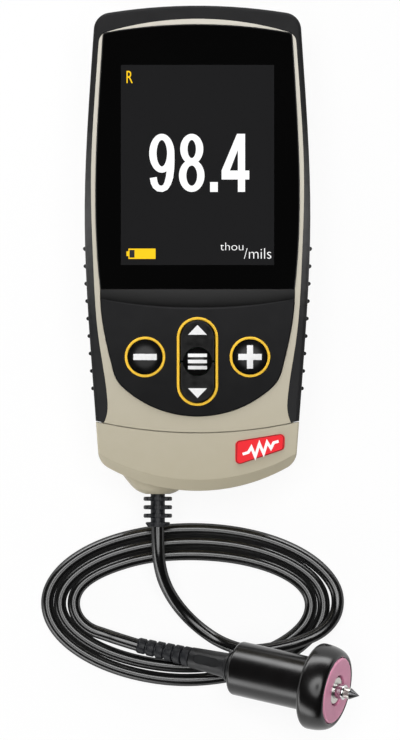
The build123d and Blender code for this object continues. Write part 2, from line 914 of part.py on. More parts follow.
door_low_y = seam_y(door_half_width) - door_overrun
door_high_y = bay_top_y - door_fit
door_length = door_high_y - door_low_y
door_mid_y = (door_high_y + door_low_y) / 2

with BuildPart() as battery_door:
    with BuildSketch(Plane.XY.offset(door_recess)):
        with Locations((0, door_mid_y)):
            Rectangle(2 * door_half_width, door_length)
    extrude(amount=door_thickness)
    with BuildSketch(Plane.XY.offset(rail_low_z)):
        with Locations((0, door_mid_y)):
            Rectangle(2 * (door_half_width + tongue_width), door_length)
    extrude(amount=tongue_thickness)
    with BuildSketch(Plane.XY.offset(door_recess)):
        with Locations((0, door_low_y + grip_line_start)):
            with GridLocations(1, grip_line_pitch, 1, grip_line_count):
                SlotOverall(grip_line_length, grip_line_width)
    extrude(amount=grip_line_depth, mode=Mode.SUBTRACT)

battery_door.part.label = "battery_door"
export_step(battery_door.part, "parts/battery_door.step")


# Screws that draw the two shells together

with BuildPart() as housing_screws:
    with Locations(*[(x, y, back_wall) for x, y in screw_places]):
        Cylinder(screw_head_radius, screw_head_height, align=(Align.CENTER, Align.CENTER, Align.MIN))
        Cylinder(
            screw_radius, screw_head_height + screw_length - screw_tip_gap,
            align=(Align.CENTER, Align.CENTER, Align.MIN),
        )
        Cylinder(
            screw_recess_radius, screw_recess_depth, align=(Align.CENTER, Align.CENTER, Align.MIN),
            mode=Mode.SUBTRACT,
        )

housing_screws.part.label = "housing_screws"
export_step(housing_screws.part, "parts/housing_screws.step")


# Probe cap: closes the foot of the case, its front creased over a sloping band, with a funnel for the cable

bulkhead_y = seam_centre_y - cap_depth

with BuildPart() as cable_boss:
    for boss_height, boss_half_width, boss_half_height in cable_boss_sections:
        section_plane = Plane((cable_x, cable_boss_end_y + boss_height, cable_z), x_dir=(1, 0, 0), z_dir=(0, -1, 0))
        with BuildSketch(section_plane):
            Ellipse(boss_half_width, boss_half_height)
    loft()

crease_centre_y = cap_crease_y + cap_crease_radius
slope_reach = case_half_width

with BuildPart() as cap_slope:
    with BuildSketch(Plane.XZ.offset(-crease_centre_y)):
        with BuildLine():
            Polyline(
                (cap_crease_radius, case_thickness),
                (cap_crease_radius + slope_reach, case_thickness),
                (cap_crease_radius + slope_reach, case_thickness - slope_reach * cap_band_slope),
                close=True,
            )
        make_face()
    revolve(axis=Axis((0, crease_centre_y, 0), (0, 0, 1)))

with BuildSketch() as cap_cavity_plan:
    add(case_outline(cap_wall + grip_thickness / 2))
    with Locations((0, bulkhead_y - case_top)):
        Rectangle(case_half_width * 4, 2 * case_top, mode=Mode.SUBTRACT)

with BuildPart() as probe_cap:
    with BuildSketch(Plane.XY.offset(cap_back_z)):
        add(case_plan)
    extrude(amount=case_thickness - cap_back_z)
    fillet(probe_cap.faces().sort_by(Axis.Z)[0].edges(), radius=cap_back_round)
    add(cap_slope.part, mode=Mode.SUBTRACT)
    front_edges = probe_cap.edges().filter_by(lambda edge: edge.bounding_box().min.Z > cable_z)
    fillet(front_edges, radius=cap_crease_round)
    add(cable_boss.part)
    with BuildSketch(Plane.XY.offset(cap_back_z + cap_wall)):
        add(cap_cavity_plan.sketch)
    extrude(amount=case_thickness - cap_back_z - cap_wall - front_wall, mode=Mode.SUBTRACT)
    with BuildSketch(Plane.XY.offset(rim_low_z - rim_fit)):
        add(case_outline(rim_inset - rim_fit))
        add(rim_seat_ground.sketch, mode=Mode.SUBTRACT)
    extrude(amount=rim_height + 2 * rim_fit, mode=Mode.SUBTRACT)
    with BuildSketch(Plane.XY.offset(case_thickness - tag_seat)):
        with BuildLine():
            Polyline(*tag_corners, close=True)
        tag_face = make_face()
        fillet(tag_face.vertices(), radius=tag_corner_radius)
        offset(amount=tag_fit)
    extrude(amount=case_thickness, mode=Mode.SUBTRACT)
    with Locations(Location((cable_x, cable_boss_end_y, cable_z), (90, 0, 0))):
        Cylinder(boot_core_radius + screw_fit, 4 * cap_depth, mode=Mode.SUBTRACT)
    with BuildSketch():
        add(cap_ground.sketch)
    extrude(amount=case_thickness, mode=Mode.INTERSECT)

probe_cap.part.label = "probe_cap"
export_step(probe_cap.part, "parts/probe_cap.step")


# Plug on the cap's bulkhead, with its contact strips

plug_tip_y = socket_foot_y - socket_back_wall - socket_fit
plug_length = plug_tip_y - bulkhead_y

with BuildPart() as probe_plug:
    with Locations((0, bulkhead_y + plug_length / 2, plug_z)):
        Box(2 * plug_half_width, plug_length, plug_height)
    chamfer(probe_plug.faces().sort_by(Axis.Y)[-1].edges(), length=plug_chamfer)

probe_plug.part.label = "probe_plug"
export_step(probe_plug.part, "parts/probe_plug.step")

with BuildPart() as plug_contacts:
    with Locations((0, plug_tip_y - plug_reach / 2 - pin_setback, plug_z + plug_height / 2)):
        with GridLocations(pin_pitch, 1, pin_count, 1):
            Box(pin_width, plug_reach, pin_thickness, align=(Align.CENTER, Align.CENTER, Align.MIN))

plug_contacts.part.label = "plug_contacts"
export_step(plug_contacts.part, "parts/plug_contacts.step")

with BuildPart() as probe_tag:
    with BuildSketch(Plane.XY.offset(case_thickness - tag_seat)):
        with BuildLine():
            Polyline(*tag_corners, close=True)
        tag_outline = make_face()
        fillet(tag_outline.vertices(), radius=tag_corner_radius)
    extrude(amount=tag_thickness)
    chamfer(probe_tag.faces().sort_by(Axis.Z)[-1].edges(), length=tag_chamfer)

probe_tag.part.label = "probe_tag"
export_step(probe_tag.part, "parts/probe_tag.step")


# Ribbed boot where the cable leaves the cap, held by a flange inside the end wall

boot_end_y = cable_boss_end_y - boot_length

with BuildPart() as cable_boot:
    with Locations(Location((cable_x, (boot_end_y + bulkhead_y) / 2, cable_z), (90, 0, 0))):
        Cylinder(boot_core_radius, bulkhead_y - boot_end_y)
    with Locations(Location((cable_x, bulkhead_y + boot_flange_thickness / 2, cable_z), (90, 0, 0))):
        Cylinder(boot_flange_radius, boot_flange_thickness)
    for ring in range(boot_ring_count):
        ring_y = cable_boss_end_y - boot_first_ring - ring * boot_ring_pitch
        with Locations(Location((cable_x, ring_y, cable_z), (90, 0, 0))):
            Cylinder(boot_ring_radius, boot_ring_thickness)

cable_boot.part.label = "cable_boot"
export_step(cable_boot.part, "parts/cable_boot.step")


# Probe axis and the plane of its turned profiles: radius across, height along the axis from the measuring face

heading = math.radians(probe_heading)
tilt = math.radians(probe_tilt)
axis_direction = Vector(math.cos(heading) * math.cos(tilt), math.sin(heading) * math.cos(tilt), math.sin(tilt))
barrel_rear_s = -(flange_length + body_length + barrel_length)
body_rear_s = -(flange_length + body_length)
face_centre = Vector(face_x, face_y, barrel_rear_z - barrel_rear_s * math.sin(tilt))
probe_axis = Axis(face_centre, axis_direction)
side_direction = Vector(-math.sin(heading), math.cos(heading), 0)
probe_section = Plane(face_centre, x_dir=side_direction, z_dir=side_direction.cross(axis_direction))


def along(height):
    """The point of the probe's axis at a height from the measuring face."""
    return face_centre + axis_direction * height


bore_rear_s = body_rear_s + probe_rear_wall
sleeve_shoulder_s = -wear_ring_thickness - ring_back_gap
flange_rear_s = -flange_length
flange_lip_radius = wear_ring_radius + flange_lip

with BuildPart() as probe_housing:
    with BuildSketch(probe_section):
        with BuildLine():
            rear_corner = (body_radius - body_edge_radius, body_rear_s)
            RadiusArc(rear_corner, (body_radius, body_rear_s + body_edge_radius), -body_edge_radius)
            flange_round = EllipticalCenterArc(
                (flange_lip_radius, -flange_front_round), flange_radius - flange_lip_radius,
                flange_front_round - flange_lip_drop, start_angle=0, arc_size=90,
            )
            Polyline(
                (body_radius, body_rear_s + body_edge_radius),
                (body_radius, flange_rear_s),
                (flange_radius - flange_rear_chamfer, flange_rear_s),
                (flange_radius, flange_rear_s + flange_rear_chamfer),
                flange_round @ 0,
            )
            Polyline(
                flange_round @ 1,
                (wear_ring_radius + ring_fit, -wear_ring_chamfer),
                (wear_ring_radius + ring_fit, -wear_ring_thickness),
                (probe_bore_radius, -wear_ring_thickness),
                (probe_bore_radius, bore_rear_s),
                (barrel_radius + ring_fit, bore_rear_s),
                (barrel_radius + ring_fit, body_rear_s),
                rear_corner,
            )
        make_face()
    revolve(axis=probe_axis)

probe_housing.part.label = "probe_housing"
export_step(probe_housing.part, "parts/probe_housing.step")


def profile(points):
    """A closed profile of radius and height points, drawn in the plane of the probe's axis."""
    with BuildSketch(probe_section) as drawing:
        with BuildLine():
            Polyline(*points, close=True)
        make_face()
    return drawing.sketch


# Pink ceramic wear ring in the front of the flange

with BuildPart() as wear_ring:
    outline = profile([
        (wear_ring_bore, -wear_ring_thickness),
        (wear_ring_radius, -wear_ring_thickness),
        (wear_ring_radius, -wear_ring_chamfer),
        (wear_ring_radius - wear_ring_chamfer, 0),
        (wear_ring_bore + wear_ring_chamfer, 0),
        (wear_ring_bore, -wear_ring_chamfer),
    ])
    revolve(outline, axis=probe_axis)

wear_ring.part.label = "wear_ring"
export_step(wear_ring.part, "parts/wear_ring.step")


# Steel sleeve that guides the tip, clamped by its shoulder behind the wear ring

with BuildPart() as guide_sleeve:
    outline = profile([
        (plunger_radius + sleeve_bore_fit, sleeve_rear_s),
        (sleeve_radius, sleeve_rear_s),
        (sleeve_radius, sleeve_shoulder_s - sleeve_shoulder_thickness),
        (probe_bore_radius - ring_fit, sleeve_shoulder_s - sleeve_shoulder_thickness),
        (probe_bore_radius - ring_fit, sleeve_shoulder_s),
        (sleeve_radius, sleeve_shoulder_s),
        (sleeve_radius, sleeve_front_s - sleeve_chamfer),
        (sleeve_radius - sleeve_chamfer, sleeve_front_s),
        (plunger_radius + sleeve_bore_fit, sleeve_front_s),
    ])
    revolve(outline, axis=probe_axis)

guide_sleeve.part.label = "guide_sleeve"
export_step(guide_sleeve.part, "parts/guide_sleeve.step")


# Sprung plunger with the carbide point pressed into its end

plunger_stop_s = sleeve_rear_s - plunger_stop_gap
shoulder_rear_s = plunger_stop_s - plunger_shoulder_thickness
plunger_rear_s = shoulder_rear_s - plunger_stem_length
tip_socket_s = plunger_proud - tip_socket_depth

with BuildPart() as tip_plunger:
    outline = profile([
        (0, plunger_rear_s),
        (plunger_stem_radius, plunger_rear_s),
        (plunger_stem_radius, shoulder_rear_s),
        (plunger_shoulder_radius, shoulder_rear_s),
        (plunger_shoulder_radius, plunger_stop_s),
        (plunger_radius, plunger_stop_s),
        (plunger_radius, plunger_proud - plunger_chamfer),
        (plunger_radius - plunger_chamfer, plunger_proud),
        (tip_radius, plunger_proud),
        (tip_radius, tip_socket_s),
        (0, tip_socket_s),
    ])
    revolve(outline, axis=probe_axis)

tip_plunger.part.label = "tip_plunger"
export_step(tip_plunger.part, "parts/tip_plunger.step")

with BuildPart() as carbide_tip:
    outline = profile([
        (0, tip_socket_s),
        (tip_radius, tip_socket_s),
        (tip_radius, tip_proud - tip_cone_length),
        (0, tip_proud),
    ])
    revolve(outline, axis=probe_axis)

carbide_tip.part.label = "carbide_tip"
export_step(carbide_tip.part, "parts/carbide_tip.step")


# Inside the probe: the sensing coil behind the sleeve, the return spring and the small board that it seats on

board_front_s = bore_rear_s + probe_board_thickness

with BuildPart() as sensing_coil:
    outline = profile([
        (sleeve_radius + ring_fit, sleeve_rear_s),
        (probe_bore_radius - ring_fit, sleeve_rear_s),
        (probe_bore_radius - ring_fit, sleeve_shoulder_s - sleeve_shoulder_thickness),
        (sleeve_radius + ring_fit, sleeve_shoulder_s - sleeve_shoulder_thickness),
    ])
    revolve(outline, axis=probe_axis)

sensing_coil.part.label = "sensing_coil"
export_step(sensing_coil.part, "parts/sensing_coil.step")

with BuildPart() as probe_board:
    outline = profile([
        (plunger_stem_radius + 2 * ring_fit, bore_rear_s),
        (probe_bore_radius - ring_fit, bore_rear_s),
        (probe_bore_radius - ring_fit, board_front_s),
        (plunger_stem_radius + 2 * ring_fit, board_front_s),
    ])
    revolve(outline, axis=probe_axis)

probe_board.part.label = "probe_board"
export_step(probe_board.part, "parts/probe_board.step")

spring_length_at_rest = shoulder_rear_s - board_front_s - spring_wire - 2 * spring_end_gap
spring_start = along(board_front_s + spring_wire / 2 + spring_end_gap)

with BuildPart() as tip_spring:
    with BuildLine():
        spring_line = Helix(
            spring_length_at_rest / spring_turns, spring_length_at_rest, spring_radius,
            center=spring_start, direction=axis_direction,
        )
    with BuildSketch(Plane(spring_line @ 0, z_dir=spring_line % 0)):
        RegularPolygon(spring_wire / 2, 6)
    sweep(path=spring_line, is_frenet=True)

tip_spring.part.label = "tip_spring"
export_step(tip_spring.part, "parts/tip_spring.step")


# Barrel behind the body: a tapered neck with a shallow bare panel and a grooved collar

collar_rear_s = body_rear_s - collar_length
spigot_front_s = bore_rear_s - spigot_gap

with BuildPart() as probe_barrel:
    with BuildSketch(probe_section):
        with BuildLine():
            Polyline(
                (0, barrel_rear_s),
                (barrel_radius, barrel_rear_s),
                (barrel_front_radius, collar_rear_s),
                (collar_radius, collar_rear_s + collar_chamfer),
                (collar_radius, body_rear_s),
                (barrel_radius, body_rear_s),
                (barrel_radius, spigot_front_s),
                (0, spigot_front_s),
                close=True,
            )
        make_face()
        for groove in range(groove_count):
            with Locations((collar_radius, body_rear_s - groove_first - groove * groove_pitch)):
                Rectangle(2 * groove_depth, groove_width, mode=Mode.SUBTRACT)
    revolve(axis=probe_axis)
    panel_centre = along((barrel_rear_s + collar_rear_s) / 2)
    panel_up = axis_direction.cross(side_direction)
    panel_plane = Plane(
        panel_centre + panel_up * (barrel_radius - panel_depth), x_dir=axis_direction, z_dir=panel_up
    )
    with BuildSketch(panel_plane):
        SlotOverall(panel_length, panel_width)
    extrude(amount=barrel_radius, mode=Mode.SUBTRACT)

probe_barrel.part.label = "probe_barrel"
export_step(probe_barrel.part, "parts/probe_barrel.step")


# Flexible boot behind the barrel, bent a little towards the floor, with ribs that shrink towards the cable

boot_front = along(barrel_rear_s)
boot_tip = Vector(*probe_boot_tip)

with BuildPart() as probe_boot:
    with BuildLine():
        boot_line = TangentArc(boot_front, boot_tip, tangent=axis_direction * -1)
    rib_thickness = boot_line.length / probe_boot_rib_count - probe_boot_groove
    with BuildSketch(Plane(boot_line @ 0, z_dir=boot_line % 0)):
        Circle(probe_boot_core_radius)
    sweep(path=boot_line)
    for rib in range(probe_boot_rib_count):
        share = (rib + 0.5) / probe_boot_rib_count
        rib_radius = probe_boot_front_radius + (probe_boot_tip_radius - probe_boot_front_radius) * share
        with Locations(Plane(boot_line @ share, z_dir=boot_line % share).location):
            Cylinder(rib_radius, rib_thickness)

probe_boot.part.label = "probe_boot"
export_step(probe_boot.part, "parts/probe_boot.step")


# Cable: a lead from the case down to the floor, loose turns beside each other, and a tail into the probe's boot

def corner_radii(points):
    """Radius of the arc at each inner point, from the shorter run beside it and the turn that it makes."""
    radii = []
    for before, here, after in zip(points, points[1:], points[2:]):
        first, second = here - before, after - here
        half_turn = math.radians(first.get_angle(second)) / 2
        radii.append(0.45 * min(first.length, second.length) / math.tan(half_turn))
    return radii


cable_exit = Vector(cable_x, boot_end_y, cable_z)
tail_start = boot_line @ 1
tail_exit = tail_start + (boot_line % 1) * tail_run
lead_route = [cable_exit] + [Vector(*point) for point in lead_points]
tail_route = [tail_start, tail_exit] + [Vector(*point) for point in tail_points]

for cable_name, route in [("cable_lead", lead_route), ("cable_tail", tail_route)]:
    radii = corner_radii(route)
    with BuildPart() as cable:
        with BuildLine():
            cable_line = FilletPolyline(*route, radius=radii)
        with BuildSketch(Plane(cable_line @ 0, z_dir=cable_line % 0)):
            Circle(cable_diameter / 2)
        sweep(path=cable_line)
    cable.part.label = cable_name
    export_step(cable.part, "parts/" + cable_name + ".step")
    section = math.pi * cable_diameter**2 / 4
    print(cable_name, "radii", [round(radius, 1) for radius in radii])
    print(cable_name, "volume over section times length", round(cable.part.volume / section / cable_line.length, 4))
    print(cable_name, "length", round(cable_line.length, 1))

with BuildPart() as cable_coil:
    with BuildSketch():
        with Locations(coil_centre):
            Ellipse(coil_half_width, coil_half_height)
        with Locations(coil_eye_centre):
            Ellipse(coil_eye_half_width, coil_eye_half_height, mode=Mode.SUBTRACT)
    extrude(amount=cable_diameter)
    fillet(cable_coil.faces().sort_by(Axis.Z)[-1].edges(), radius=coil_edge_radius)

cable_coil.part.label = "cable_coil"
export_step(cable_coil.part, "parts/cable_coil.step")
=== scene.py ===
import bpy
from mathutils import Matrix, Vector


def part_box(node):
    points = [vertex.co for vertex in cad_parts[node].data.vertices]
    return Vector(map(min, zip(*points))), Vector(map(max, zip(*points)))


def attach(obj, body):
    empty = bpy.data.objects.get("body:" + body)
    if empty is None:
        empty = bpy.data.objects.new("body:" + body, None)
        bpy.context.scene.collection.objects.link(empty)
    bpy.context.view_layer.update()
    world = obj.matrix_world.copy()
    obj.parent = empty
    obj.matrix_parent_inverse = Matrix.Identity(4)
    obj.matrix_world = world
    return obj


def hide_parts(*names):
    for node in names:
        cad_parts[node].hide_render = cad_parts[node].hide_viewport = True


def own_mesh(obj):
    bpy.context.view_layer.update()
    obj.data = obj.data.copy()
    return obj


bl_info = {
    "name": "Surface Profile Gauge",
    "version": (1, 0, 0),
    "blender": (4, 5, 0),
    "location": "3D View > Sidebar > Gauge",
    "description": "Dresses a hand-held surface profile gauge and its cabled probe, on a pale studio floor",
    "category": "Add Mesh",
}

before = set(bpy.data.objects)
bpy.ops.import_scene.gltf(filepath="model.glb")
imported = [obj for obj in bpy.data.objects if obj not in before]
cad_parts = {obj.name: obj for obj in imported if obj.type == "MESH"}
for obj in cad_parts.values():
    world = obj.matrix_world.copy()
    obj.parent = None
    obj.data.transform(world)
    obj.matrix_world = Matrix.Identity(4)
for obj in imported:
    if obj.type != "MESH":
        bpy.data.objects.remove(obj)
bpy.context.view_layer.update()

import math

import bmesh
import bpy
from bpy.props import FloatProperty, FloatVectorProperty, IntProperty, PointerProperty, StringProperty
from mathutils import Vector

MM = 0.001


# Colours are written as they look on a screen, from 0 to 255, and held as linear values

def screen(red, green, blue):
    """A colour picked on a screen, turned into the linear values that the shaders use."""
    linear = []
    for level in (red, green, blue):
        share = level / 255
        linear.append(share / 12.92 if share <= 0.04045 else ((share + 0.055) / 1.055) ** 2.4)
    return tuple(linear)


def length(name, millimetres, description):
    """A length that the user can change, given in millimetres and held in metres."""
    return FloatProperty(
        name=name, description=description, default=millimetres * MM, subtype="DISTANCE", unit="LENGTH",
        precision=5,
    )


def colour(name, red, green, blue, owner):
    """A colour that the user can change, with what it belongs to."""
    return FloatVectorProperty(
        name=name, description="Colour of " + owner, default=screen(red, green, blue), subtype="COLOR",
        size=3, min=0.0, max=1.0,
    )


def brightness(name, default, description):
    """The brightness of one part of the studio's light."""
    return FloatProperty(name=name, description=description, default=default, min=0.0)


class StageSettings(bpy.types.PropertyGroup):
    """Camera, light and floor."""

    camera_height: length("Camera height", 3000.0, "Height of the camera over the case's front")
    view_length: length("View length", 211.6, "Length of the case's front plane that fills the picture")
    view_x: length("View centre X", 0.715, "Place of the picture's centre across the case")
    view_y: length("View centre Y", -34.53, "Place of the picture's centre along the case")
    floor_size: length("Floor size", 14000.0, "Side of the floor")
    overhead_north: brightness("Overhead, top end", 5.5, "Overhead light beyond the display")
    overhead_south: brightness("Overhead, foot end", 2.9, "Overhead light beyond the cable")
    north_box: brightness("North box", 7.0, "Low soft box beyond the display")
    south_west_box: brightness("South-west box", 4.2, "Low soft box beyond the cable, to the left")
    sky: brightness("Sky", 0.03, "The rest of the studio")
    floor_colour: colour("Floor", 250, 250, 250, "the floor")


class CaseSettings(bpy.types.PropertyGroup):
    """Housings, grip and tag."""

    shell_top: colour("Shell, top", 214, 209, 197, "the moulded shell by the display")
    shell_foot: colour("Shell, foot", 176, 168, 146, "the moulded shell by the cable")
    grip: colour("Grip", 34, 34, 35, "the rubber grip")
    # Painted light: a lighter band across the grip's middle, where light falls on the rubber
    grip_painted_light: colour("Grip, worn", 76, 76, 76, "the grip where the hand rubs it")
    tag: colour("Tag", 236, 30, 42, "the tag on the cap")
    tag_rim: colour("Tag rim", 150, 16, 26, "the narrow line round the tag")
    tag_ink: colour("Tag ink", 252, 250, 250, "the profile line on the tag")
    tag_line: length("Tag line", 0.8, "Width of the profile line on the tag")
    tag_rim_width: length("Tag rim width", 0.25, "Width of the narrow line round the tag")


class DisplaySettings(bpy.types.PropertyGroup):
    """Window, display and its readout."""

    unit_left: StringProperty(name="Unit, left", description="First half of the unit", default="thou")
    unit_right: StringProperty(name="Unit, right", description="Second half of the unit", default="/mils")
    mark: StringProperty(name="Mark", description="Small sign in the display's upper corner", default="R")
    digit_foot: length("Digit foot", 16.4, "Place of the digits' lower edge")
    digit_height: length("Digit height", 16.6, "Height of the digits")
    stem: length("Digit stem", 2.1, "Width of the digits' upright strokes")
    bar: length("Digit bar", 1.75, "Width of the digits' level strokes")
    active_half_width: length("Active half width", 21.9, "Half of the lit area's width")
    active_top_y: length("Active top Y", 52.7, "Upper edge of the lit area")
    active_foot_y: length("Active foot Y", -4.5, "Lower edge of the lit area")
    print_height: length("Print height", 0.03, "How far the readout stands over the window")
    black: colour("Window", 3, 3, 3, "the window's border")
    lit: colour("Display", 31, 31, 32, "the lit area")
    white: colour("Digits", 252, 252, 252, "the digits")
    amber: colour("Signs", 253, 203, 4, "the signs")


class KeypadSettings(bpy.types.PropertyGroup):
    """Keypad panel, keys and their legends."""

    # The scoop's and the plate's colours are painted light and shade: lighter by the window, darker towards
    # the arc and the foot. The arc line is a painted highlight on the lip
    scoop_painted_light: colour("Scoop, top", 62, 62, 62, "the scooped band by the window")
    scoop_painted_shade: colour("Scoop, foot", 8, 8, 8, "the scooped band by its arc")
    arc: colour("Arc", 42, 42, 43, "the narrow line along the scoop's arc")
    panel_painted_light: colour("Panel, top", 30, 30, 31, "the keypad's upper end")
    panel_painted_shade: colour("Panel, foot", 16, 16, 17, "the keypad's lower end")
    key: colour("Key", 9, 9, 9, "the keys")
    ring: colour("Ring", 246, 196, 52, "the rings round the keys")
    legend: colour("Legend", 236, 236, 236, "the signs on the keys")
    key_x: length("Key X", 15.0, "Distance of the minus and plus keys from the middle")
    key_y: length("Key Y", -30.8, "Place of the minus and plus keys along the case")
    key_radius: length("Key radius", 4.9, "Radius of the minus and plus keys")
    nav_y: length("Oblong key Y", -32.1, "Place of the oblong key's centre along the case")
    menu_radius: length("Menu key radius", 3.85, "Radius of the menu key")
    crown: length("Crown", 0.9, "Rise of the round keys' tops")
    bar_length: length("Bar length", 6.7, "Length of the minus and plus bars")
    bar_width: length("Bar width", 1.75, "Width of the minus and plus bars")
    menu_bar_length: length("Menu bar length", 5.45, "Length of the three bars of the menu key")
    menu_bar_width: length("Menu bar width", 1.0, "Width of the three bars of the menu key")
    menu_bar_pitch: length("Menu bar pitch", 1.75, "Step between the three bars")
    arrow_half_width: length("Arrow half width", 2.7, "Half of an arrow's width")
    arrow_height: length("Arrow height", 2.8, "Height of an arrow")
    arrow_shift: length("Arrow shift", 7.65, "Distance of an arrow's base from the menu key's centre")
    legend_height: length("Legend height", 0.05, "How far a legend stands over its key")


class CableSettings(bpy.types.PropertyGroup):
    """Cable and its two boots."""

    diameter: length("Diameter", 3.6, "Diameter of the cable's jacket")
    points_a_turn: IntProperty(name="Points a turn", default=16, description="Points of the route a turn")
    centre_x: length("Coil centre X", -1.5, "Centre of the loose turns, across")
    centre_y: length("Coil centre Y", -102.0, "Centre of the loose turns, along")
    jacket: colour("Jacket", 8, 8, 8, "the cable's jacket")
    boot: colour("Boot", 15, 17, 22, "the two boots")


class ProbeSettings(bpy.types.PropertyGroup):
    """Probe housing, wear ring and tip."""

    heading: FloatProperty(name="Heading", description="Bearing of the probe's axis from the X axis",
                           default=math.radians(-12.3), subtype="ANGLE")
    tilt: FloatProperty(name="Tilt", description="Rise of the probe's axis over the floor",
                        default=math.radians(21.5), subtype="ANGLE")
    face_x: length("Face X", 40.1, "Place of the measuring face's centre across the case")
    face_y: length("Face Y", -126.3, "Place of the measuring face's centre along the case")
    barrel_height: length("Barrel height", 7.3, "Height of the barrel's rear end over the floor")
    barrel_rear: length("Barrel rear", 45.9, "Distance of the barrel's rear end from the measuring face")
    body_rear: length("Body rear", 31.9, "Distance of the body's rear end from the measuring face")
    flange_rear: length("Flange rear", 8.0, "Distance of the flange's rear face from the measuring face")
    body_radius: length("Body radius", 7.8, "Radius of the body")
    flange_radius: length("Flange radius", 12.5, "Radius of the flange")
    body: colour("Body", 10, 9, 9, "the probe's housing")
    barrel: colour("Barrel", 15, 16, 18, "the barrel behind the body")
    ceramic: colour("Wear ring", 202, 124, 156, "the ceramic wear ring")
    # Painted highlight: the wear ring's rounded outer edge, paler as if it caught the light
    ceramic_rim_highlight: colour("Wear ring rim", 238, 160, 190, "the wear ring's ground edge")
    steel: colour("Steel", 190, 188, 182, "the turned steel")
    carbide: colour("Carbide", 88, 88, 90, "the carbide point")


class GaugeSettings(bpy.types.PropertyGroup):
    """All settings of the gauge."""

    stage: PointerProperty(type=StageSettings)
    case: PointerProperty(type=CaseSettings)
    display: PointerProperty(type=DisplaySettings)
    keypad: PointerProperty(type=KeypadSettings)
    cable: PointerProperty(type=CableSettings)
    probe: PointerProperty(type=ProbeSettings)


# Finishes: a shader and the textures that feed it. The sizes of patches and bumps are in millimetres

# Most of a noise lies in this range, so it is what patches are spread over
NOISE_RANGE = (0.3, 0.7)


class Textures:
    """The nodes of a material or of the world, with short calls for what is used often."""

    def __init__(self, owner):
        owner.use_nodes = True
        self.nodes, self.links = owner.node_tree.nodes, owner.node_tree.links

    def node(self, kind, *sources, operation=None):
        """Adds a node and feeds its first inputs from other nodes or plain values."""
        node = self.nodes.new("ShaderNode" + kind)
        if operation:
            node.operation = operation
        for socket, source in zip(node.inputs, sources):
            if isinstance(source, bpy.types.NodeSocket):
                self.links.new(source, socket)
            else:
                socket.default_value = source
        return node

    def math(self, operation, first, second):
        """One step of arithmetic."""
        return self.node("Math", first, second, operation=operation).outputs["Value"]

    def dot(self, vector, direction):
        """How far a vector reaches in a direction."""
        return self.node("VectorMath", vector, direction, operation="DOT_PRODUCT").outputs["Value"]

    def spread(self, source, start, end, first, last):
        """Turns a range of values into another one."""
        return self.node("MapRange", source, start, end, first, last).outputs["Result"]

    def ramp(self, source, stops):
        """Turns values from 0 to 1 into colours."""
        node = self.node("ValToRGB", source)
        elements = node.color_ramp.elements
        for index, (place, shade) in enumerate(stops):
            element = elements[index] if index < 2 else elements.new(place)
            element.position = place
            element.color = (*shade, 1)
        return node.outputs["Color"]


class Finish(Textures):
    """One surface finish, put together from a shader and its textures."""

    def __init__(self, name, base, roughness, metallic=0.0, specular=0.5):
        self.material = bpy.data.materials.new(name)
        super().__init__(self.material)
        self.shader = self.nodes["Principled BSDF"]
        self.place = self.node("TexCoord").outputs["Object"]
        self.base = tuple(base)
        self.set("Base Color", (*self.base, 1)).set("Roughness", roughness)
        self.set("Metallic", metallic).set("Specular IOR Level", specular)

    def set(self, socket, value):
        """Sets a number or colour on the shader itself."""
        self.shader.inputs[socket].default_value = value
        return self

    def feed(self, socket, source):
        """Lets a texture drive an input of the shader."""
        self.links.new(source, self.shader.inputs[socket])
        return self

    def noise(self, size, detail=3.0):
        """A noise with patches of about the given size."""
        node = self.node("TexNoise", self.place)
        node.inputs["Scale"].default_value = 1 / (size * MM)
        node.inputs["Detail"].default_value = detail
        return node.outputs["Fac"]

    def patches(self, size, low, high):
        """Soft patches of the given size that wander between two values."""
        return self.spread(self.noise(size), *NOISE_RANGE, low, high)

    def axis(self, letter):
        """The place along one axis, in metres."""
        return self.node("SeparateXYZ", self.place).outputs[letter]

    def along(self, letter, start, end, first=0, last=1):
        """A value that goes from first to last between two places along an axis, in millimetres."""
        return self.spread(self.axis(letter), start * MM, end * MM, first, last)

    def distance(self, point):
        """The distance from a point of the frame, in metres."""
        return self.node("VectorMath", self.place, point, operation="DISTANCE").outputs["Value"]

    def height(self, point, direction):
        """The height over a plane through a point of the frame, in metres."""
        offset = self.node("VectorMath", self.place, point, operation="SUBTRACT")
        return self.dot(offset.outputs["Vector"], direction)

    def inside(self, letter, start, end):
        """One between two places along an axis, and nothing beyond them. The places are in metres."""
        above = self.math("GREATER_THAN", self.axis(letter), start)
        below = self.math("LESS_THAN", self.axis(letter), end)
        return self.math("MULTIPLY", above, below)

    def paint(self, source, stops, mottle=0.0, mottle_size=4):
        """Colours the surface from a ramp, with small patches that stray from it."""
        if mottle:
            source = self.math("ADD", source, self.patches(mottle_size, -mottle, mottle))
        return self.feed("Base Color", self.ramp(source, stops))

    def mottle(self, size, depth):
        """Lets the base colour wander a little in patches of the given size."""
        darker = tuple(level * (1 - depth) for level in self.base)
        lighter = tuple(min(level * (1 + depth), 1) for level in self.base)
        return self.paint(self.noise(size), zip(NOISE_RANGE, (darker, lighter)))

    def wear(self, size, low, high):
        """Lets the roughness wander between two values in patches of the given size."""
        return self.feed("Roughness", self.patches(size, low, high))

    def edge_haze(self, centre, edge):
        """Gloss that turns soft where the surface bends away."""
        facing = self.node("LayerWeight", 0.5).outputs["Facing"]
        rough = self.spread(facing, 0.25, 0.75, centre, edge)
        return self.feed("Roughness", self.math("MULTIPLY", rough, self.patches(5, 0.9, 1.1)))

    def grain(self, size, depth):
        """Fine bumps of the given size and depth."""
        bump = self.node("Bump")
        bump.inputs["Distance"].default_value = depth * MM
        self.links.new(self.noise(size, detail=2.0), bump.inputs["Height"])
        return self.feed("Normal", bump.outputs["Normal"])


def settings():
    """The settings that the panel shows."""
    return bpy.context.scene.gauge


def dress(material, *names):
    """Gives carried-over nodes of the frame their finish."""
    for name in names:
        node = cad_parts[name]
        for slot in node.material_slots:
            slot.material = material


def placed(name, data):
    """A new object in the scene."""
    item = bpy.data.objects.new(name, data)
    bpy.context.scene.collection.objects.link(item)
    return item


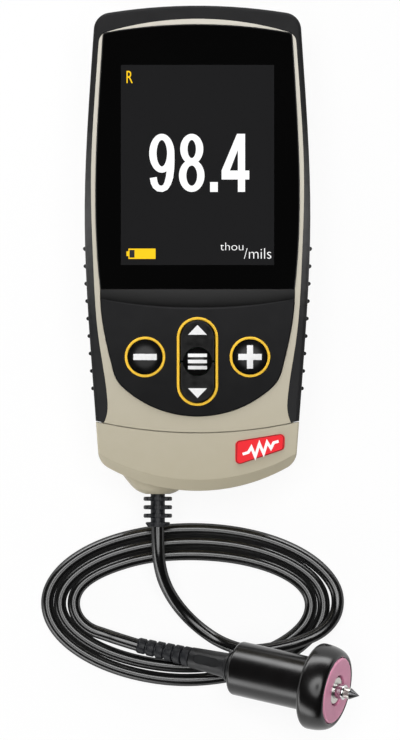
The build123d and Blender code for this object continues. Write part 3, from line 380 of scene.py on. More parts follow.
def add_piece(name, mesh, material, body, slot, replaced=()):
    """Adds a mesh or curve as a piece that rides on a body of the frame."""
    piece = placed(name, mesh)
    mesh.materials.clear()
    mesh.materials.append(material)
    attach(piece, body)
    if replaced:
        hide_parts(*replaced)
    return piece


# Meshes: ribbons, plates, draped signs and turned pieces, drawn in millimetres

def skin(name, rows, along=False, sharp=40):
    """A mesh over rows of points that each close on themselves. The last row may join the first."""
    shape = bmesh.new()
    grid = [[shape.verts.new(Vector(point) * MM) for point in row] for row in rows]
    for index in range(len(rows) if along else len(rows) - 1):
        row, following = grid[index], grid[(index + 1) % len(rows)]
        for column in range(len(row)):
            after = (column + 1) % len(row)
            shape.faces.new((row[column], row[after], following[after], following[column]))
    if not along:
        shape.faces.new(grid[0])
        shape.faces.new(grid[-1])
    return closed_mesh(name, shape, sharp)


def closed_mesh(name, shape, sharp=40):
    """Turns a finished form into a mesh with smooth faces and crisp edges over the given angle."""
    same_place = 0.0005 * MM
    bmesh.ops.remove_doubles(shape, verts=shape.verts, dist=same_place)
    bmesh.ops.dissolve_degenerate(shape, edges=shape.edges, dist=same_place)
    bmesh.ops.recalc_face_normals(shape, faces=shape.faces)
    mesh = bpy.data.meshes.new(name)
    shape.to_mesh(mesh)
    shape.free()
    mesh.shade_smooth()
    mesh.set_sharp_from_angle(angle=math.radians(sharp))
    return mesh


def joined(name, meshes):
    """One mesh out of several."""
    shape = bmesh.new()
    for mesh in meshes:
        shape.from_mesh(mesh)
        bpy.data.meshes.remove(mesh)
    return closed_mesh(name, shape)


def ribbon(line, width, low, high, closed=False):
    """A flat ribbon along a line of points, with one width or one for each point."""
    widths = [width] * len(line) if isinstance(width, (int, float)) else width
    rows = []
    for index, (x, y) in enumerate(line):
        before = Vector(line[index - 1 if index or closed else 0])
        after = Vector(line[(index + 1) % len(line) if closed or index < len(line) - 1 else index])
        here = Vector((x, y))
        sides = [here - before, after - here]
        run = sum((side.normalized() for side in sides if side.length), Vector((0, 0))).normalized()
        lean = max(side.normalized().dot(run) for side in sides if side.length)
        across = Vector((-run.y, run.x)) * widths[index] / 2 / lean
        left, right = here + across, here - across
        rows.append([(*left, low), (*left, high), (*right, high), (*right, low)])
    return skin("ribbon", rows, along=closed)


def plate(corners, low, high):
    """A flat plate with the given corners."""
    return skin("plate", [[(x, y, low) for x, y in corners], [(x, y, high) for x, y in corners]])


def box_plate(left, foot, right, top, low, high):
    """A flat oblong plate."""
    return plate([(left, foot), (right, foot), (right, top), (left, top)], low, high)


def circle(steps, shift=0.0):
    """Angles spread evenly round a full turn, moved on by a share of a step."""
    return [2 * math.pi * (step + shift) / steps for step in range(steps)]


def oval(centre_x, centre_y, half_width, half_height):
    """Points round an ellipse."""
    return [(centre_x + half_width * math.cos(turn), centre_y + half_height * math.sin(turn))
            for turn in circle(48)]


def draped(corners, surface):
    """A thin sign with four corners, laid over a surface that is given as a height at each place."""
    columns, rows, thickness = 14, 6, 0.2
    foot_left, foot_right, top_right, top_left = [Vector(corner) for corner in corners]
    sheets = []
    for drop in (0, thickness):
        grid = []
        for row in range(rows + 1):
            start, end = foot_left.lerp(top_left, row / rows), foot_right.lerp(top_right, row / rows)
            places = [start.lerp(end, column / columns) for column in range(columns + 1)]
            grid.append([(x, y, surface(x, y) - drop) for x, y in places])
        sheets.append(grid)
    upper, lower = sheets
    loops = [over + under[::-1] for over, under in zip(upper, lower)]
    return skin("sign", loops)


def turned(name, profile, place, steps=96):
    """A turned piece: a closed profile of radius and height points, carried round by a place function."""
    rows = [[place(radius, height, turn) for turn in circle(steps)] for radius, height in profile]
    return skin(name, rows, along=True)


def rounded(corners, steps=6):
    """A profile through corners given as radius, height and rounding, with each corner rounded off."""
    nearly_straight = math.radians(89.5)
    points = []
    for index, (radius, height, rounding) in enumerate(corners):
        here = Vector((radius, height))
        before = (Vector(corners[index - 1][:2]) - here).normalized()
        after = (Vector(corners[(index + 1) % len(corners)][:2]) - here).normalized()
        half_angle = before.angle(after) / 2
        if not rounding or half_angle > nearly_straight:
            points.append(tuple(here))
            continue
        centre = here + (before + after).normalized() * rounding / math.sin(half_angle)
        reach = rounding / math.tan(half_angle)
        spoke, last = here + before * reach - centre, here + after * reach - centre
        start = math.atan2(spoke.y, spoke.x)
        swing = math.atan2(spoke.x * last.y - spoke.y * last.x, spoke.dot(last))
        for step in range(steps + 1):
            turn = start + swing * step / steps
            points.append((centre.x + rounding * math.cos(turn), centre.y + rounding * math.sin(turn)))
    return points


def lettering(name, text, oblong, layer, boldness=0.0):
    """Flat lettering that fills an oblong, given by its left, foot, right and top, and a layer."""
    curve = bpy.data.curves.new(name, "FONT")
    curve.body = text
    # Any thickness does, because the letters are stretched to their layer
    curve.extrude = 0.02
    curve.offset = boldness
    holder = bpy.data.objects.new(name, curve)
    mesh = bpy.data.meshes.new_from_object(holder)
    bpy.data.objects.remove(holder)
    bpy.data.curves.remove(curve)
    corners = [Vector(vertex.co) for vertex in mesh.vertices]
    low = [min(corner[axis] for corner in corners) for axis in range(3)]
    high = [max(corner[axis] for corner in corners) for axis in range(3)]
    start, end = (*oblong[:2], layer[0]), (*oblong[2:], layer[1])
    for vertex in mesh.vertices:
        vertex.co = [(start[axis] + (vertex.co[axis] - low[axis]) / (high[axis] - low[axis])
                      * (end[axis] - start[axis])) * MM for axis in range(3)]
    return mesh


# Finishes of the case

def moulded_shell():
    """Beige moulded plastic that darkens a little towards the foot."""
    case = settings().case
    finish = Finish("moulded_shell", case.shell_top, 0.5, specular=0.2)
    finish.paint(finish.along("Y", 60, -66), [(0.0, case.shell_top), (1.0, case.shell_foot)], mottle=0.02)
    return finish.wear(9, 0.42, 0.5).grain(0.45, 0.006).material


def grip_rubber():
    """Dark rubber with a soft sheen and a lighter band across its middle that is painted light."""
    case = settings().case
    finish = Finish("grip_rubber", case.grip, 0.55, specular=0.1)
    # The lighter band in the middle of the ramp is painted light
    stops = [(0.0, case.grip), (0.25, case.grip), (0.5, case.grip_painted_light), (0.75, case.grip), (1.0, case.grip)]
    finish.paint(finish.along("Y", -52, 70), stops, mottle=0.03, mottle_size=2.5)
    return finish.wear(5, 0.5, 0.62).grain(0.3, 0.008).material


def tag_print():
    """Red enamelled tag."""
    finish = Finish("tag_print", settings().case.tag, 0.45, specular=0.15)
    return finish.mottle(3, 0.03).grain(0.8, 0.002).material


def plain_ink(name, shade):
    """Printed ink of one colour, a little uneven."""
    return Finish(name, shade, 0.5, specular=0.15).mottle(0.6, 0.03).material


def lit_ink(name, shade):
    """Glowing sign of the display."""
    unlit_share, glow = 0.2, 0.9
    finish = Finish(name, tuple(level * unlit_share for level in shade), 0.4, specular=0.1)
    finish.set("Emission Color", (*shade, 1)).set("Emission Strength", glow)
    return finish.mottle(0.6, 0.03).material


def window_glass():
    """Black glossy window with the lit area of the display showing through it."""
    display = settings().display
    finish = Finish("window_glass", display.black, 0.06)
    across = finish.inside("X", -display.active_half_width, display.active_half_width)
    upright = finish.inside("Y", display.active_foot_y, display.active_top_y)
    lit = finish.math("MULTIPLY", across, upright)
    return finish.paint(lit, [(0.0, display.black), (1.0, display.lit)]).wear(30, 0.03, 0.05).material


def keypad_plate():
    """Dark satin plate: a scooped band along its top with painted shade from light by the window to dark at
    its arc, a lighter line along the arc painted as the highlight on its lip, and painted shade that darkens
    the plate towards its foot.
    """
    keypad = settings().keypad
    window_foot, scoop_depth, arc_sag, half_width = -11.4, 5.6, 2.3, 25.6
    line_end = 1.04
    finish = Finish("keypad_plate", keypad.panel_painted_light, 0.5, specular=0.06)
    across = finish.math("DIVIDE", finish.axis("X"), half_width * MM)
    rise = finish.math("MULTIPLY", finish.math("MULTIPLY", across, across), arc_sag * MM)
    depth = finish.math("SUBTRACT", scoop_depth * MM, rise)
    below_window = finish.math("SUBTRACT", window_foot * MM, finish.axis("Y"))
    share = finish.math("DIVIDE", below_window, depth)
    below_arc = finish.math("GREATER_THAN", share, line_end)
    above_arc = finish.math("SUBTRACT", 1, below_arc)
    scoop = finish.math("MULTIPLY", above_arc, finish.spread(share, 0, 1, 0, 0.4))
    panel = finish.math("MULTIPLY", below_arc, finish.along("Y", -17, -47.5, 0.46, 1.0))
    # Painted shade: the scoop goes from light by the window to dark at its arc, the lighter arc line is a
    # painted highlight, and the plate darkens towards its foot
    finish.paint(finish.math("ADD", scoop, panel), [
        (0.0, keypad.scoop_painted_light), (0.37, keypad.scoop_painted_shade), (0.385, keypad.arc), (0.41, keypad.arc),
        (0.45, keypad.panel_painted_light), (1.0, keypad.panel_painted_shade),
    ])
    return finish.wear(4, 0.45, 0.55).grain(0.3, 0.004).material


def key_gloss():
    """Glossy dark plastic of the keys."""
    finish = Finish("key_gloss", settings().keypad.key, 0.3, specular=0.16)
    return finish.mottle(2, 0.05).wear(2, 0.18, 0.26).material


def ring_print():
    """Yellow print of the rings round the keys."""
    finish = Finish("ring_print", settings().keypad.ring, 0.45, specular=0.2)
    return finish.mottle(1.5, 0.03).grain(0.3, 0.004).material


def cable_jacket():
    """Glossy black jacket of the cable."""
    finish = Finish("cable_jacket", settings().cable.jacket, 0.2, specular=0.85)
    return finish.mottle(4, 0.08).edge_haze(0.2, 1.0).grain(1.5, 0.004).material


def boot_rubber():
    """Soft blue-black rubber of the boots."""
    finish = Finish("boot_rubber", settings().cable.boot, 0.4, specular=0.35)
    return finish.mottle(2, 0.06).wear(2, 0.42, 0.55).grain(0.4, 0.006).material


def probe_gloss():
    """Glossy black moulding of the probe."""
    finish = Finish("probe_gloss", settings().probe.body, 0.2)
    return finish.mottle(5, 0.06).wear(7, 0.19, 0.26).grain(1.2, 0.003).material


def barrel_rubber():
    """Satin graphite of the barrel behind the body."""
    finish = Finish("barrel_rubber", settings().probe.barrel, 0.42, specular=0.4)
    return finish.mottle(2, 0.08).wear(2, 0.38, 0.5).grain(0.35, 0.006).material


def ceramic():
    """Pink sintered ceramic with a painted highlight along its rounded outer edge."""
    probe = settings().probe
    highlight_from, highlight_to = 8.9, 9.5
    finish = Finish("ceramic", probe.ceramic, 0.42)
    edge = finish.spread(finish.distance(probe_place(0, 0, 0) * MM), highlight_from * MM, highlight_to * MM, 0, 1)
    # The paler outer edge is a painted highlight
    finish.paint(edge, [(0.0, probe.ceramic), (1.0, probe.ceramic_rim_highlight)], mottle=0.05, mottle_size=0.8)
    return finish.wear(1.5, 0.38, 0.5).grain(0.15, 0.006).material


def turned_steel():
    """Turned steel with fine tool marks."""
    finish = Finish("turned_steel", settings().probe.steel, 0.3, metallic=1.0)
    return finish.mottle(1, 0.05).wear(1, 0.22, 0.36).grain(0.12, 0.003).material


def hard_chrome():
    """Bright chrome of the sprung plunger."""
    finish = Finish("hard_chrome", screen(205, 205, 205), 0.14, metallic=1.0)
    return finish.mottle(2, 0.03).wear(1, 0.1, 0.2).material


def carbide():
    """Dark ground carbide point on its bright shank."""
    probe = settings().probe
    shank_end, point_start = 3.9, 4.1
    finish = Finish("carbide", probe.carbide, 0.34, metallic=1.0)
    rise = finish.height(probe_place(0, 0, 0) * MM, probe_axis())
    finish.paint(finish.spread(rise, shank_end * MM, point_start * MM, 0, 1),
                 [(0.0, probe.steel), (1.0, probe.carbide)], mottle=0.04, mottle_size=0.3)
    return finish.wear(0.4, 0.26, 0.38).grain(0.08, 0.003).material


def inner_finish(name, shade, roughness, metallic=0.0):
    """Finish of a piece inside the case or the probe."""
    finish = Finish(name, screen(*shade), roughness, metallic)
    return finish.mottle(1.5, 0.08).wear(2, roughness * 0.85, roughness * 1.15).grain(0.3, 0.01).material


# Stage

def light_sky():
    """A dark studio: soft overhead light, open at its middle, and a low soft box on either side."""
    stage = settings().stage
    world = bpy.data.worlds.new("studio")
    bpy.context.scene.world = world
    sky = Textures(world)
    direction = sky.node("TexCoord").outputs["Generated"]
    rise = sky.node("SeparateXYZ", direction).outputs["Z"]
    north, south_west = 90, 225

    def by_height(*stops):
        """Light between 0 and 1 that changes with the rise of a direction."""
        return sky.ramp(rise, [(height, (level, level, level)) for height, level in stops])

    def towards(bearing, start, end, low, high):
        """Goes from low to high as a direction turns towards a bearing, in degrees from the east."""
        angle = math.radians(bearing)
        return sky.spread(sky.dot(direction, (math.cos(angle), math.sin(angle), 0)), start, end, low, high)

    overhead = by_height((0.0, 0.0), (0.885, 0.0), (0.915, 1.0), (0.985, 1.0), (0.996, 0.0))
    low_boxes = by_height((0.0, 0.0), (0.06, 0.7), (0.12, 1.0), (0.3, 1.0), (0.42, 0.0))
    total = stage.sky
    for shape, share in (
        (overhead, towards(north, -0.25, 0.25, stage.overhead_south, stage.overhead_north)),
        (low_boxes, towards(north, 0.6, 0.85, 0.0, stage.north_box)),
        (low_boxes, towards(south_west, 0.7, 0.9, 0.0, stage.south_west_box)),
    ):
        total = sky.math("ADD", total, sky.math("MULTIPLY", shape, share))
    sky.links.new(total, sky.nodes["Background"].inputs["Color"])


def floor_finish():
    """Pale floor that shows as white and still takes the gauge's shadow."""
    glow_share = 0.9
    material = bpy.data.materials.new("studio_floor")
    floor = Textures(material)
    floor.nodes.clear()
    matt = floor.node("BsdfDiffuse", (*settings().stage.floor_colour, 1)).outputs["BSDF"]
    glow = floor.node("Emission").outputs["Emission"]
    lifted = floor.node("MixShader", glow_share, matt, glow).outputs["Shader"]
    rays = floor.node("LightPath").outputs
    seen = floor.math("MAXIMUM", rays["Is Camera Ray"], rays["Is Glossy Ray"])
    chosen = floor.math("MAXIMUM", seen, rays["Is Transmission Ray"])
    floor.node("OutputMaterial", floor.node("MixShader", chosen, matt, lifted).outputs["Shader"])
    return material


class GAUGE_OT_stage(bpy.types.Operator):
    """Set up the camera, the light of the sky and the floor"""

    bl_idname = "gauge.stage"
    bl_label = "Stage"

    def execute(self, context):
        stage = settings().stage
        camera = placed("camera", bpy.data.cameras.new("camera"))
        camera.location = (stage.view_x, stage.view_y, stage.camera_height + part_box("front_housing")[1].z)
        camera.data.lens = camera.data.sensor_width * stage.camera_height / stage.view_length
        camera.data.clip_end = 2 * stage.floor_size
        context.scene.camera = camera
        context.scene.view_settings.view_transform = "Standard"
        light_sky()
        mesh = bpy.data.meshes.new("floor")
        reach = stage.floor_size / 2
        mesh.from_pydata([(-reach, -reach, 0), (reach, -reach, 0), (reach, reach, 0), (-reach, reach, 0)], [],
                         [(0, 1, 2, 3)])
        mesh.materials.append(floor_finish())
        floor = placed("floor", mesh)
        return {"FINISHED"}


# Cable. Its route and its boots are drawn in millimetres

CASE_BOOT_END = (-11.4, -79.6, 12.0)
PROBE_BOOT_END = (-17.3, -113.7, 3.6)


def coil_radii(turn):
    """Half width and half height of the loose turns at a place along them, counted in turns."""
    half_widths = [42.9, 42.7, 38.5, 39.0, 34.8, 35.0]
    half_heights = [22.0, 22.4, 18.35, 18.4, 14.7, 14.7]

    def between(values, place, haste):
        """Goes from one value to the next over a half turn. With haste it arrives early and then waits."""
        step = min(int(place), len(values) - 2)
        share = min((place - step) * haste, 1.0)
        return (values[step] + (values[step + 1] - values[step]) * share) * MM

    height_place = max(2 * turn - 0.5, 0)
    moves_inwards = int(height_place) % 2
    haste = 1.5 if moves_inwards else 1.0
    return between(half_widths, 2 * turn, 1.0), between(half_heights, height_place, haste)


def cable_route():
    """The cable's whole route: down from the case, over the strands, round the loose turns, to the probe."""
    cable = settings().cable
    lead = [
        CASE_BOOT_END, (-11.4, -84.9, 12.0), (-11.0, -90.2, 10.6), (-9.7, -95.4, 7.8),
        (-7.2, -100.3, 4.9), (-3.6, -105.0, 2.8), (0.9, -109.2, 1.9), (6.2, -112.8, 2.2),
        (12.0, -114.9, 4.7), (16.4, -115.4, 6.0), (23.6, -114.3, 6.0), (29.9, -112.7, 6.0),
        (36.9, -109.4, 4.8), (40.7, -103.7, 2.6),
    ]
    tail = [
        (-14.8, -88.2, 1.8), (-26.2, -91.6, 1.8), (-33.2, -95.6, 1.8), (-36.0, -100.4, 1.8),
        (-35.1, -105.5, 1.8), (-31.4, -109.2, 1.9), (-26.7, -110.7, 2.2), (-22.6, -112.1, 3.1),
        PROBE_BOOT_END,
    ]
    first_turn, last_turn = 15 / 360, 2.25
    count = round((last_turn - first_turn) * cable.points_a_turn)
    turns = []
    for index in range(count + 1):
        turn = first_turn + (last_turn - first_turn) * index / count
        half_width, half_height = coil_radii(turn)
        angle = 2 * math.pi * turn
        turns.append(Vector((cable.centre_x + half_width * math.cos(angle),
                             cable.centre_y + half_height * math.sin(angle), cable.diameter / 2)))
    return [Vector(point) * MM for point in lead] + turns + [Vector(point) * MM for point in tail]


class GAUGE_OT_cable(bpy.types.Operator):
    """Lay the cable from the case, round its loose turns and into the probe"""

    bl_idname = "gauge.cable"
    bl_label = "Cable"

    def execute(self, context):
        route = cable_route()
        curve = bpy.data.curves.new("cable", "CURVE")
        curve.dimensions = "3D"
        curve.bevel_depth = settings().cable.diameter / 2
        curve.bevel_resolution = 6
        curve.resolution_u = 10
        spline = curve.splines.new("NURBS")
        spline.points.add(len(route) - 1)
        for point, place in zip(spline.points, route):
            point.co = (*place, 1)
        spline.order_u = 3
        spline.use_endpoint_u = True
        cable = add_piece("cable", curve, cable_jacket(), "lead", "cable",
                          ("cable_lead", "cable_coil", "cable_tail"))
        return {"FINISHED"}


# Case

class GAUGE_OT_housings(bpy.types.Operator):
    """Finish the moulded shells, the battery door and the probe cap"""

    bl_idname = "gauge.housings"
    bl_label = "Housings"

    def execute(self, context):
        dress(moulded_shell(), "front_housing", "rear_housing", "battery_door", "probe_cap")
        return {"FINISHED"}


class GAUGE_OT_grip(bpy.types.Operator):
    """Finish the rubber grip round the case"""

    bl_idname = "gauge.grip"
    bl_label = "Grip"

    def execute(self, context):
        dress(grip_rubber(), "side_grip")
        return {"FINISHED"}


def tag_outline(inset):
    """Points round the tag's edge, a distance inside it."""
    corners = [Vector((10.9, -54.9)), Vector((25.0, -52.6)), Vector((24.8, -57.2)), Vector((10.8, -61.9))]
    # A corner moves further along its diagonal than the sides move in
    rounding, diagonal = 1.3, 1.4
    middle = sum(corners, Vector((0, 0))) / len(corners)
    drawn = []
    for corner in corners:
        inwards = (middle - corner).normalized()
        drawn.append((*(corner + inwards * inset * diagonal), rounding - inset))
    return rounded(drawn)


class GAUGE_OT_tag(bpy.types.Operator):
    """Finish the tag on the cap and print its rim and a surface profile line"""

    bl_idname = "gauge.tag"
    bl_label = "Tag"

    def execute(self, context):
        case = settings().case
        dress(tag_print(), "probe_tag")
        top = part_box("probe_tag")[1].z / MM
        foot, rim_top, line_top = top - 0.1, top + 0.02, top + 0.04
        rim_inset = 0.28
        rim = ribbon(tag_outline(rim_inset), case.tag_rim_width / MM, foot, rim_top, closed=True)
        add_piece("tag_rim", rim, plain_ink("tag_rim_ink", case.tag_rim), "lead", "tag")
        trace = [(12.9, -58.6), (14.5, -58.1), (15.4, -56.6), (16.5, -59.3), (17.7, -55.6), (18.9, -58.4),
                 (19.9, -55.2), (21.0, -56.9), (21.8, -55.3), (23.2, -54.9)]
        line = ribbon(trace, case.tag_line / MM, foot, line_top)
        add_piece("tag_profile_line", line, plain_ink("tag_white_ink", case.tag_ink), "lead", "tag")
        return {"FINISHED"}


# Window and display

class GAUGE_OT_window(bpy.types.Operator):
    """Finish the window over the display"""

    bl_idname = "gauge.window"
    bl_label = "Window"

    def execute(self, context):
        dress(window_glass(), "display_window")
        return {"FINISHED"}


def digit_meshes(low, high):
    """The four signs of the reading, drawn with even strokes."""
    display = settings().display
    stem, bar = display.stem / MM, display.bar / MM
    foot, head = display.digit_foot / MM, (display.digit_foot + display.digit_height) / MM

    def loop(centre_x, foot_y, top_y, half_width):
        """An oval stroke, given by its outer sides."""
        inner_width, inner_height = half_width - stem / 2, (top_y - foot_y) / 2 - bar / 2
        line = oval(centre_x, (foot_y + top_y) / 2, inner_width, inner_height)
        widths = [bar + (stem - bar) * math.cos(turn) ** 2 for turn in circle(len(line))]
        return ribbon(line, widths, low, high, closed=True)

    nine_x, nine_half = -10.2, 3.6
    tail = [(2.55, 27.4), (2.57, 25.2), (2.48, 22.9), (2.2, 20.6), (1.7, 18.9), (1.05, 17.75), (0.1, 17.28),
            (-0.95, 17.4), (-1.75, 18.1), (-2.2, 19.1), (-2.45, 20.5)]
    tail_widths = [stem, stem, stem, stem, 1.95, bar, bar, bar, 1.85, 1.95, 2.0]
    nine = [loop(nine_x, 21.9, head, nine_half),
            ribbon([(nine_x + x, y) for x, y in tail], tail_widths, low, high)]
    eight_x = -1.65
    eight = [loop(eight_x, 24.3, head, 3.3), loop(eight_x, foot, 25.7, 3.65)]
    point = [box_plate(3.6, foot, 5.8, foot + 2.8, low, high)]
    four = [box_plate(11.55, foot, 13.6, head, low, high),
            box_plate(6.9, 19.95, 14.8, 22.5, low, high),
            plate([(6.9, 22.5), (9.25, 22.5), (11.55, 28.4), (11.55, head), (11.3, head)], low, high)]
    return nine + eight + point + four


class GAUGE_OT_readout(bpy.types.Operator):
    """Show a reading, its unit and the small signs on the display"""

    bl_idname = "gauge.readout"
    bl_label = "Readout"

    def execute(self, context):
        display = settings().display
        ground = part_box("display_window")[1].z / MM
        sunk, raised, thin_strokes = 0.02, 0.02, -0.014
        layer = (ground - sunk, ground + display.print_height / MM)
        raised_layer = (layer[0], layer[1] + raised)
        # Each place is the left, foot, right and top of an oblong on the display
        unit_left, unit_right = (6.5, -0.3, 13.1, 1.9), (13.3, -2.7, 21.1, 0.3)
        mark_place = (-20.3, 47.5, -18.5, 51.0)
        battery_body, battery_pole = (-19.75, -2.76, -12.0, 0.19), (-20.3, -1.95, -19.75, -0.6)
        battery_charge = (-19.45, -2.4, -18.0, -0.2)
        white = lit_ink("lit_white", display.white)
        amber = lit_ink("lit_amber", display.amber)
        unit = joined("unit", [lettering("unit", display.unit_left, unit_left, layer, thin_strokes),
                               lettering("unit", display.unit_right, unit_right, layer, thin_strokes)])
        mark = lettering("mark", display.mark, mark_place, layer)
        battery = joined("battery_sign", [box_plate(*battery_body, *layer), box_plate(*battery_pole, *layer)])
        for name, mesh, ink in (
            ("reading", joined("reading", digit_meshes(*layer)), white),
            ("unit", unit, white),
            ("mark", mark, amber),
            ("battery_sign", battery, amber),
            ("battery_cell", box_plate(*battery_charge, *raised_layer), plain_ink("dark_cell", display.lit)),
        ):
            add_piece(name, mesh, ink, "gauge", "display")
        return {"FINISHED"}


# Keypad

class GAUGE_OT_keypad(bpy.types.Operator):
    """Finish the keypad panel"""

    bl_idname = "gauge.keypad"
    bl_label = "Keypad"

    def execute(self, context):
        dress(keypad_plate(), "keypad_panel")
        return {"FINISHED"}


def ring_bead(centre_x, centre_y, radius, straight, ground):
    """A rounded bead of print round a key, with two straight sides where the key is oblong."""
    half = [(0.375, -0.2), (0.375, 0.0), (0.33, 0.06), (0.2, 0.105)]
    section = [(-across, rise) for across, rise in half] + [(0.0, 0.12)] + half[::-1]
    rows = []
    for turn in circle(96, shift=0.5):
        outwards = Vector((math.cos(turn), math.sin(turn)))
        centre = Vector((centre_x, centre_y + math.copysign(straight, outwards.y)))
        rows.append([(*(centre + outwards * (radius + across)), ground + rise) for across, rise in section])
    return skin("bead", rows, along=True, sharp=60)


class GAUGE_OT_rings(bpy.types.Operator):
    """Print the rings round the keys"""

    bl_idname = "gauge.rings"
    bl_label = "Key rings"

    def execute(self, context):
        keypad = settings().keypad
        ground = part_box("keypad_panel")[1].z / MM
        gap, oblong_radius, oblong_straight = 0.525, 5.525, 6.8
        x, y, radius = keypad.key_x / MM, keypad.key_y / MM, keypad.key_radius / MM + gap
        places = [(-x, y, radius, 0), (x, y, radius, 0),
                  (0, keypad.nav_y / MM, oblong_radius, oblong_straight)]
        rings = joined("key_ring_print", [ring_bead(*place, ground) for place in places])
        add_piece("key_ring_print", rings, ring_print(), "gauge", "ring", ("key_rings",))
        return {"FINISHED"}


class GAUGE_OT_keys(bpy.types.Operator):
    """Finish the keys and print their signs"""

    bl_idname = "gauge.keys"
    bl_label = "Keys"

    def execute(self, context):
        keypad = settings().keypad
        dress(key_gloss(), "minus_key", "plus_key", "menu_key", "up_key", "down_key")
        ink = plain_ink("legend_ink", keypad.legend)
        lift, sunk = keypad.legend_height / MM, 0.1

        def print_sign(key, mesh):
            """Adds a sign that moves with its key."""
            add_piece(key + "_sign", mesh, ink, key, "key")

        def crowned(key, x, y, radius):
            """The height of a sign over the domed top of a round key."""
            top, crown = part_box(key)[1].z / MM, keypad.crown / MM
            sphere = (radius ** 2 + crown ** 2) / (2 * crown)
            return lambda px, py: top + lift - sphere + math.sqrt(sphere ** 2 - (px - x) ** 2 - (py - y) ** 2)

        def bar(x, y, half_width, half_height, surface):
            """An oblong sign on a round key."""
            left, foot, right, top = x - half_width, y - half_height, x + half_width, y + half_height
            return draped([(left, foot), (right, foot), (right, top), (left, top)], surface)

        half, thin, y = keypad.bar_length / MM / 2, keypad.bar_width / MM / 2, keypad.key_y / MM
        for key, x in (("minus_key", -keypad.key_x / MM), ("plus_key", keypad.key_x / MM)):
            surface = crowned(key, x, y, keypad.key_radius / MM)
            signs = [bar(x, y, half, thin, surface)]
            if key == "plus_key":
                reach = (half - thin) / 2
                signs += [bar(x, y + side * (thin + reach), thin, reach, surface) for side in (-1, 1)]
            print_sign(key, joined(key + "_sign", signs))

        middle, pitch = keypad.nav_y / MM, keypad.menu_bar_pitch / MM
        half, thin = keypad.menu_bar_length / MM / 2, keypad.menu_bar_width / MM / 2
        surface = crowned("menu_key", 0, middle, keypad.menu_radius / MM)
        bars = [bar(0, middle + step * pitch, half, thin, surface) for step in (-1, 0, 1)]
        print_sign("menu_key", joined("menu_key_sign", bars))
        for key, side in (("up_key", 1), ("down_key", -1)):
            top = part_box(key)[1].z / MM
            base, wide = middle + side * keypad.arrow_shift / MM, keypad.arrow_half_width / MM
            peak = base + side * keypad.arrow_height / MM
            print_sign(key, plate([(-wide, base), (wide, base), (0, peak)], top - sunk, top + lift))
        return {"FINISHED"}


# Probe and boots

def probe_axis():
    """Direction from the barrel to the measuring face."""
    heading, tilt = settings().probe.heading, settings().probe.tilt
    return Vector((math.cos(heading) * math.cos(tilt), math.sin(heading) * math.cos(tilt), math.sin(tilt)))


def probe_place(radius, height, turn):
    """A point round the probe's axis, at a height from the measuring face."""
    probe = settings().probe
    axis = probe_axis()
    face = Vector((probe.face_x, probe.face_y, probe.barrel_height + probe.barrel_rear * axis.z)) / MM
    side = Vector((-math.sin(probe.heading), math.cos(probe.heading), 0))
    return face + axis * height + (side * math.cos(turn) + axis.cross(side) * math.sin(turn)) * radius


class GAUGE_OT_boots(bpy.types.Operator):
    """Build the ribbed boots at both ends of the cable"""

    bl_idname = "gauge.boots"
    bl_label = "Boots"

    def execute(self, context):
        rubber = boot_rubber()
        add_piece("case_boot", self.case_boot(), rubber, "lead", "boot_rubber", ("cable_boot",))
        add_piece("ribbed_probe_boot", self.probe_boot(), rubber, "lead", "boot_rubber", ("probe_boot",))
        return {"FINISHED"}

    def case_boot(self):
        """A round core with thin fins that stand out to both sides."""
        centre_x, _, centre_z = CASE_BOOT_END
        core, flange, fin, half_fin, fins_start = 2.05, 4.0, 4.1, 0.575, -70
        fin_flare, fin_cut, fin_least = 2.4, 0.75, 0.12
        corners = [(0, -57.0, 0), (flange, -57.0, 0), (flange, -58.5, 0), (core, -58.5, 0)]
        for fin_y in (-71.5, -73.93, -76.36):
            rear, front = fin_y + half_fin, fin_y - half_fin
            corners += [(core, rear, 0.2), (fin, rear, 0.35), (fin, front, 0.35), (core, front, 0.2)]
        corners += [(core, -78.2, 0.2), (3.8, -78.2, 0.3), (2.9, -79.5, 0.3), (0, -79.5, 0)]

        def place(radius, height, turn):
            """A point round the boot. The fins are cut back above and below the core."""
            width = radius
            if height < fins_start:
                inner, share = min(radius, core), abs(math.cos(turn)) * fin_flare - fin_cut
                width = inner + (radius - inner) * min(max(share, fin_least), 1.0)
            return Vector((centre_x + width * math.cos(turn), height, centre_z + width * math.sin(turn)))

        return turned("case_boot", rounded(corners, 4), place)

    def probe_boot(self):
        """Wide rounded bands with narrow grooves along a gentle bend."""
        probe = settings().probe
        start, end = probe_place(0, -probe.barrel_rear / MM, 0), Vector(PROBE_BOOT_END)
        along, chord = -probe_axis(), end - start
        inwards = (chord - along * chord.dot(along)).normalized()
        bend = chord.length_squared / (2 * chord.dot(inwards))
        sweep = 2 * math.atan2(chord.dot(inwards), chord.dot(along))
        reach = bend * sweep
        side = along.cross(inwards)
        bands, groove, core, wide, narrow = 6, 0.55, 2.0, 2.9, 2.2
        corners = [(0, 0, 0), (core, 0, 0)]
        for band in range(bands):
            radius = wide + (narrow - wide) * (band + 0.5) / bands
            first, last = reach * band / bands + groove / 2, reach * (band + 1) / bands - groove / 2
            corners += [(core, first, 0.12), (radius, first, 0.3), (radius, last, 0.3), (core, last, 0.12)]
        corners += [(core, reach, 0), (0, reach, 0)]

        def place(radius, height, turn):
            """A point round the bent middle line, with the height counted along it."""
            swing = height / bend
            centre = start + along * bend * math.sin(swing) + inwards * bend * (1 - math.cos(swing))
            across = inwards * math.cos(swing) - along * math.sin(swing)
            return centre + (across * math.cos(turn) + side * math.sin(turn)) * radius

        return turned("ribbed_probe_boot", rounded(corners, 4), place, steps=64)


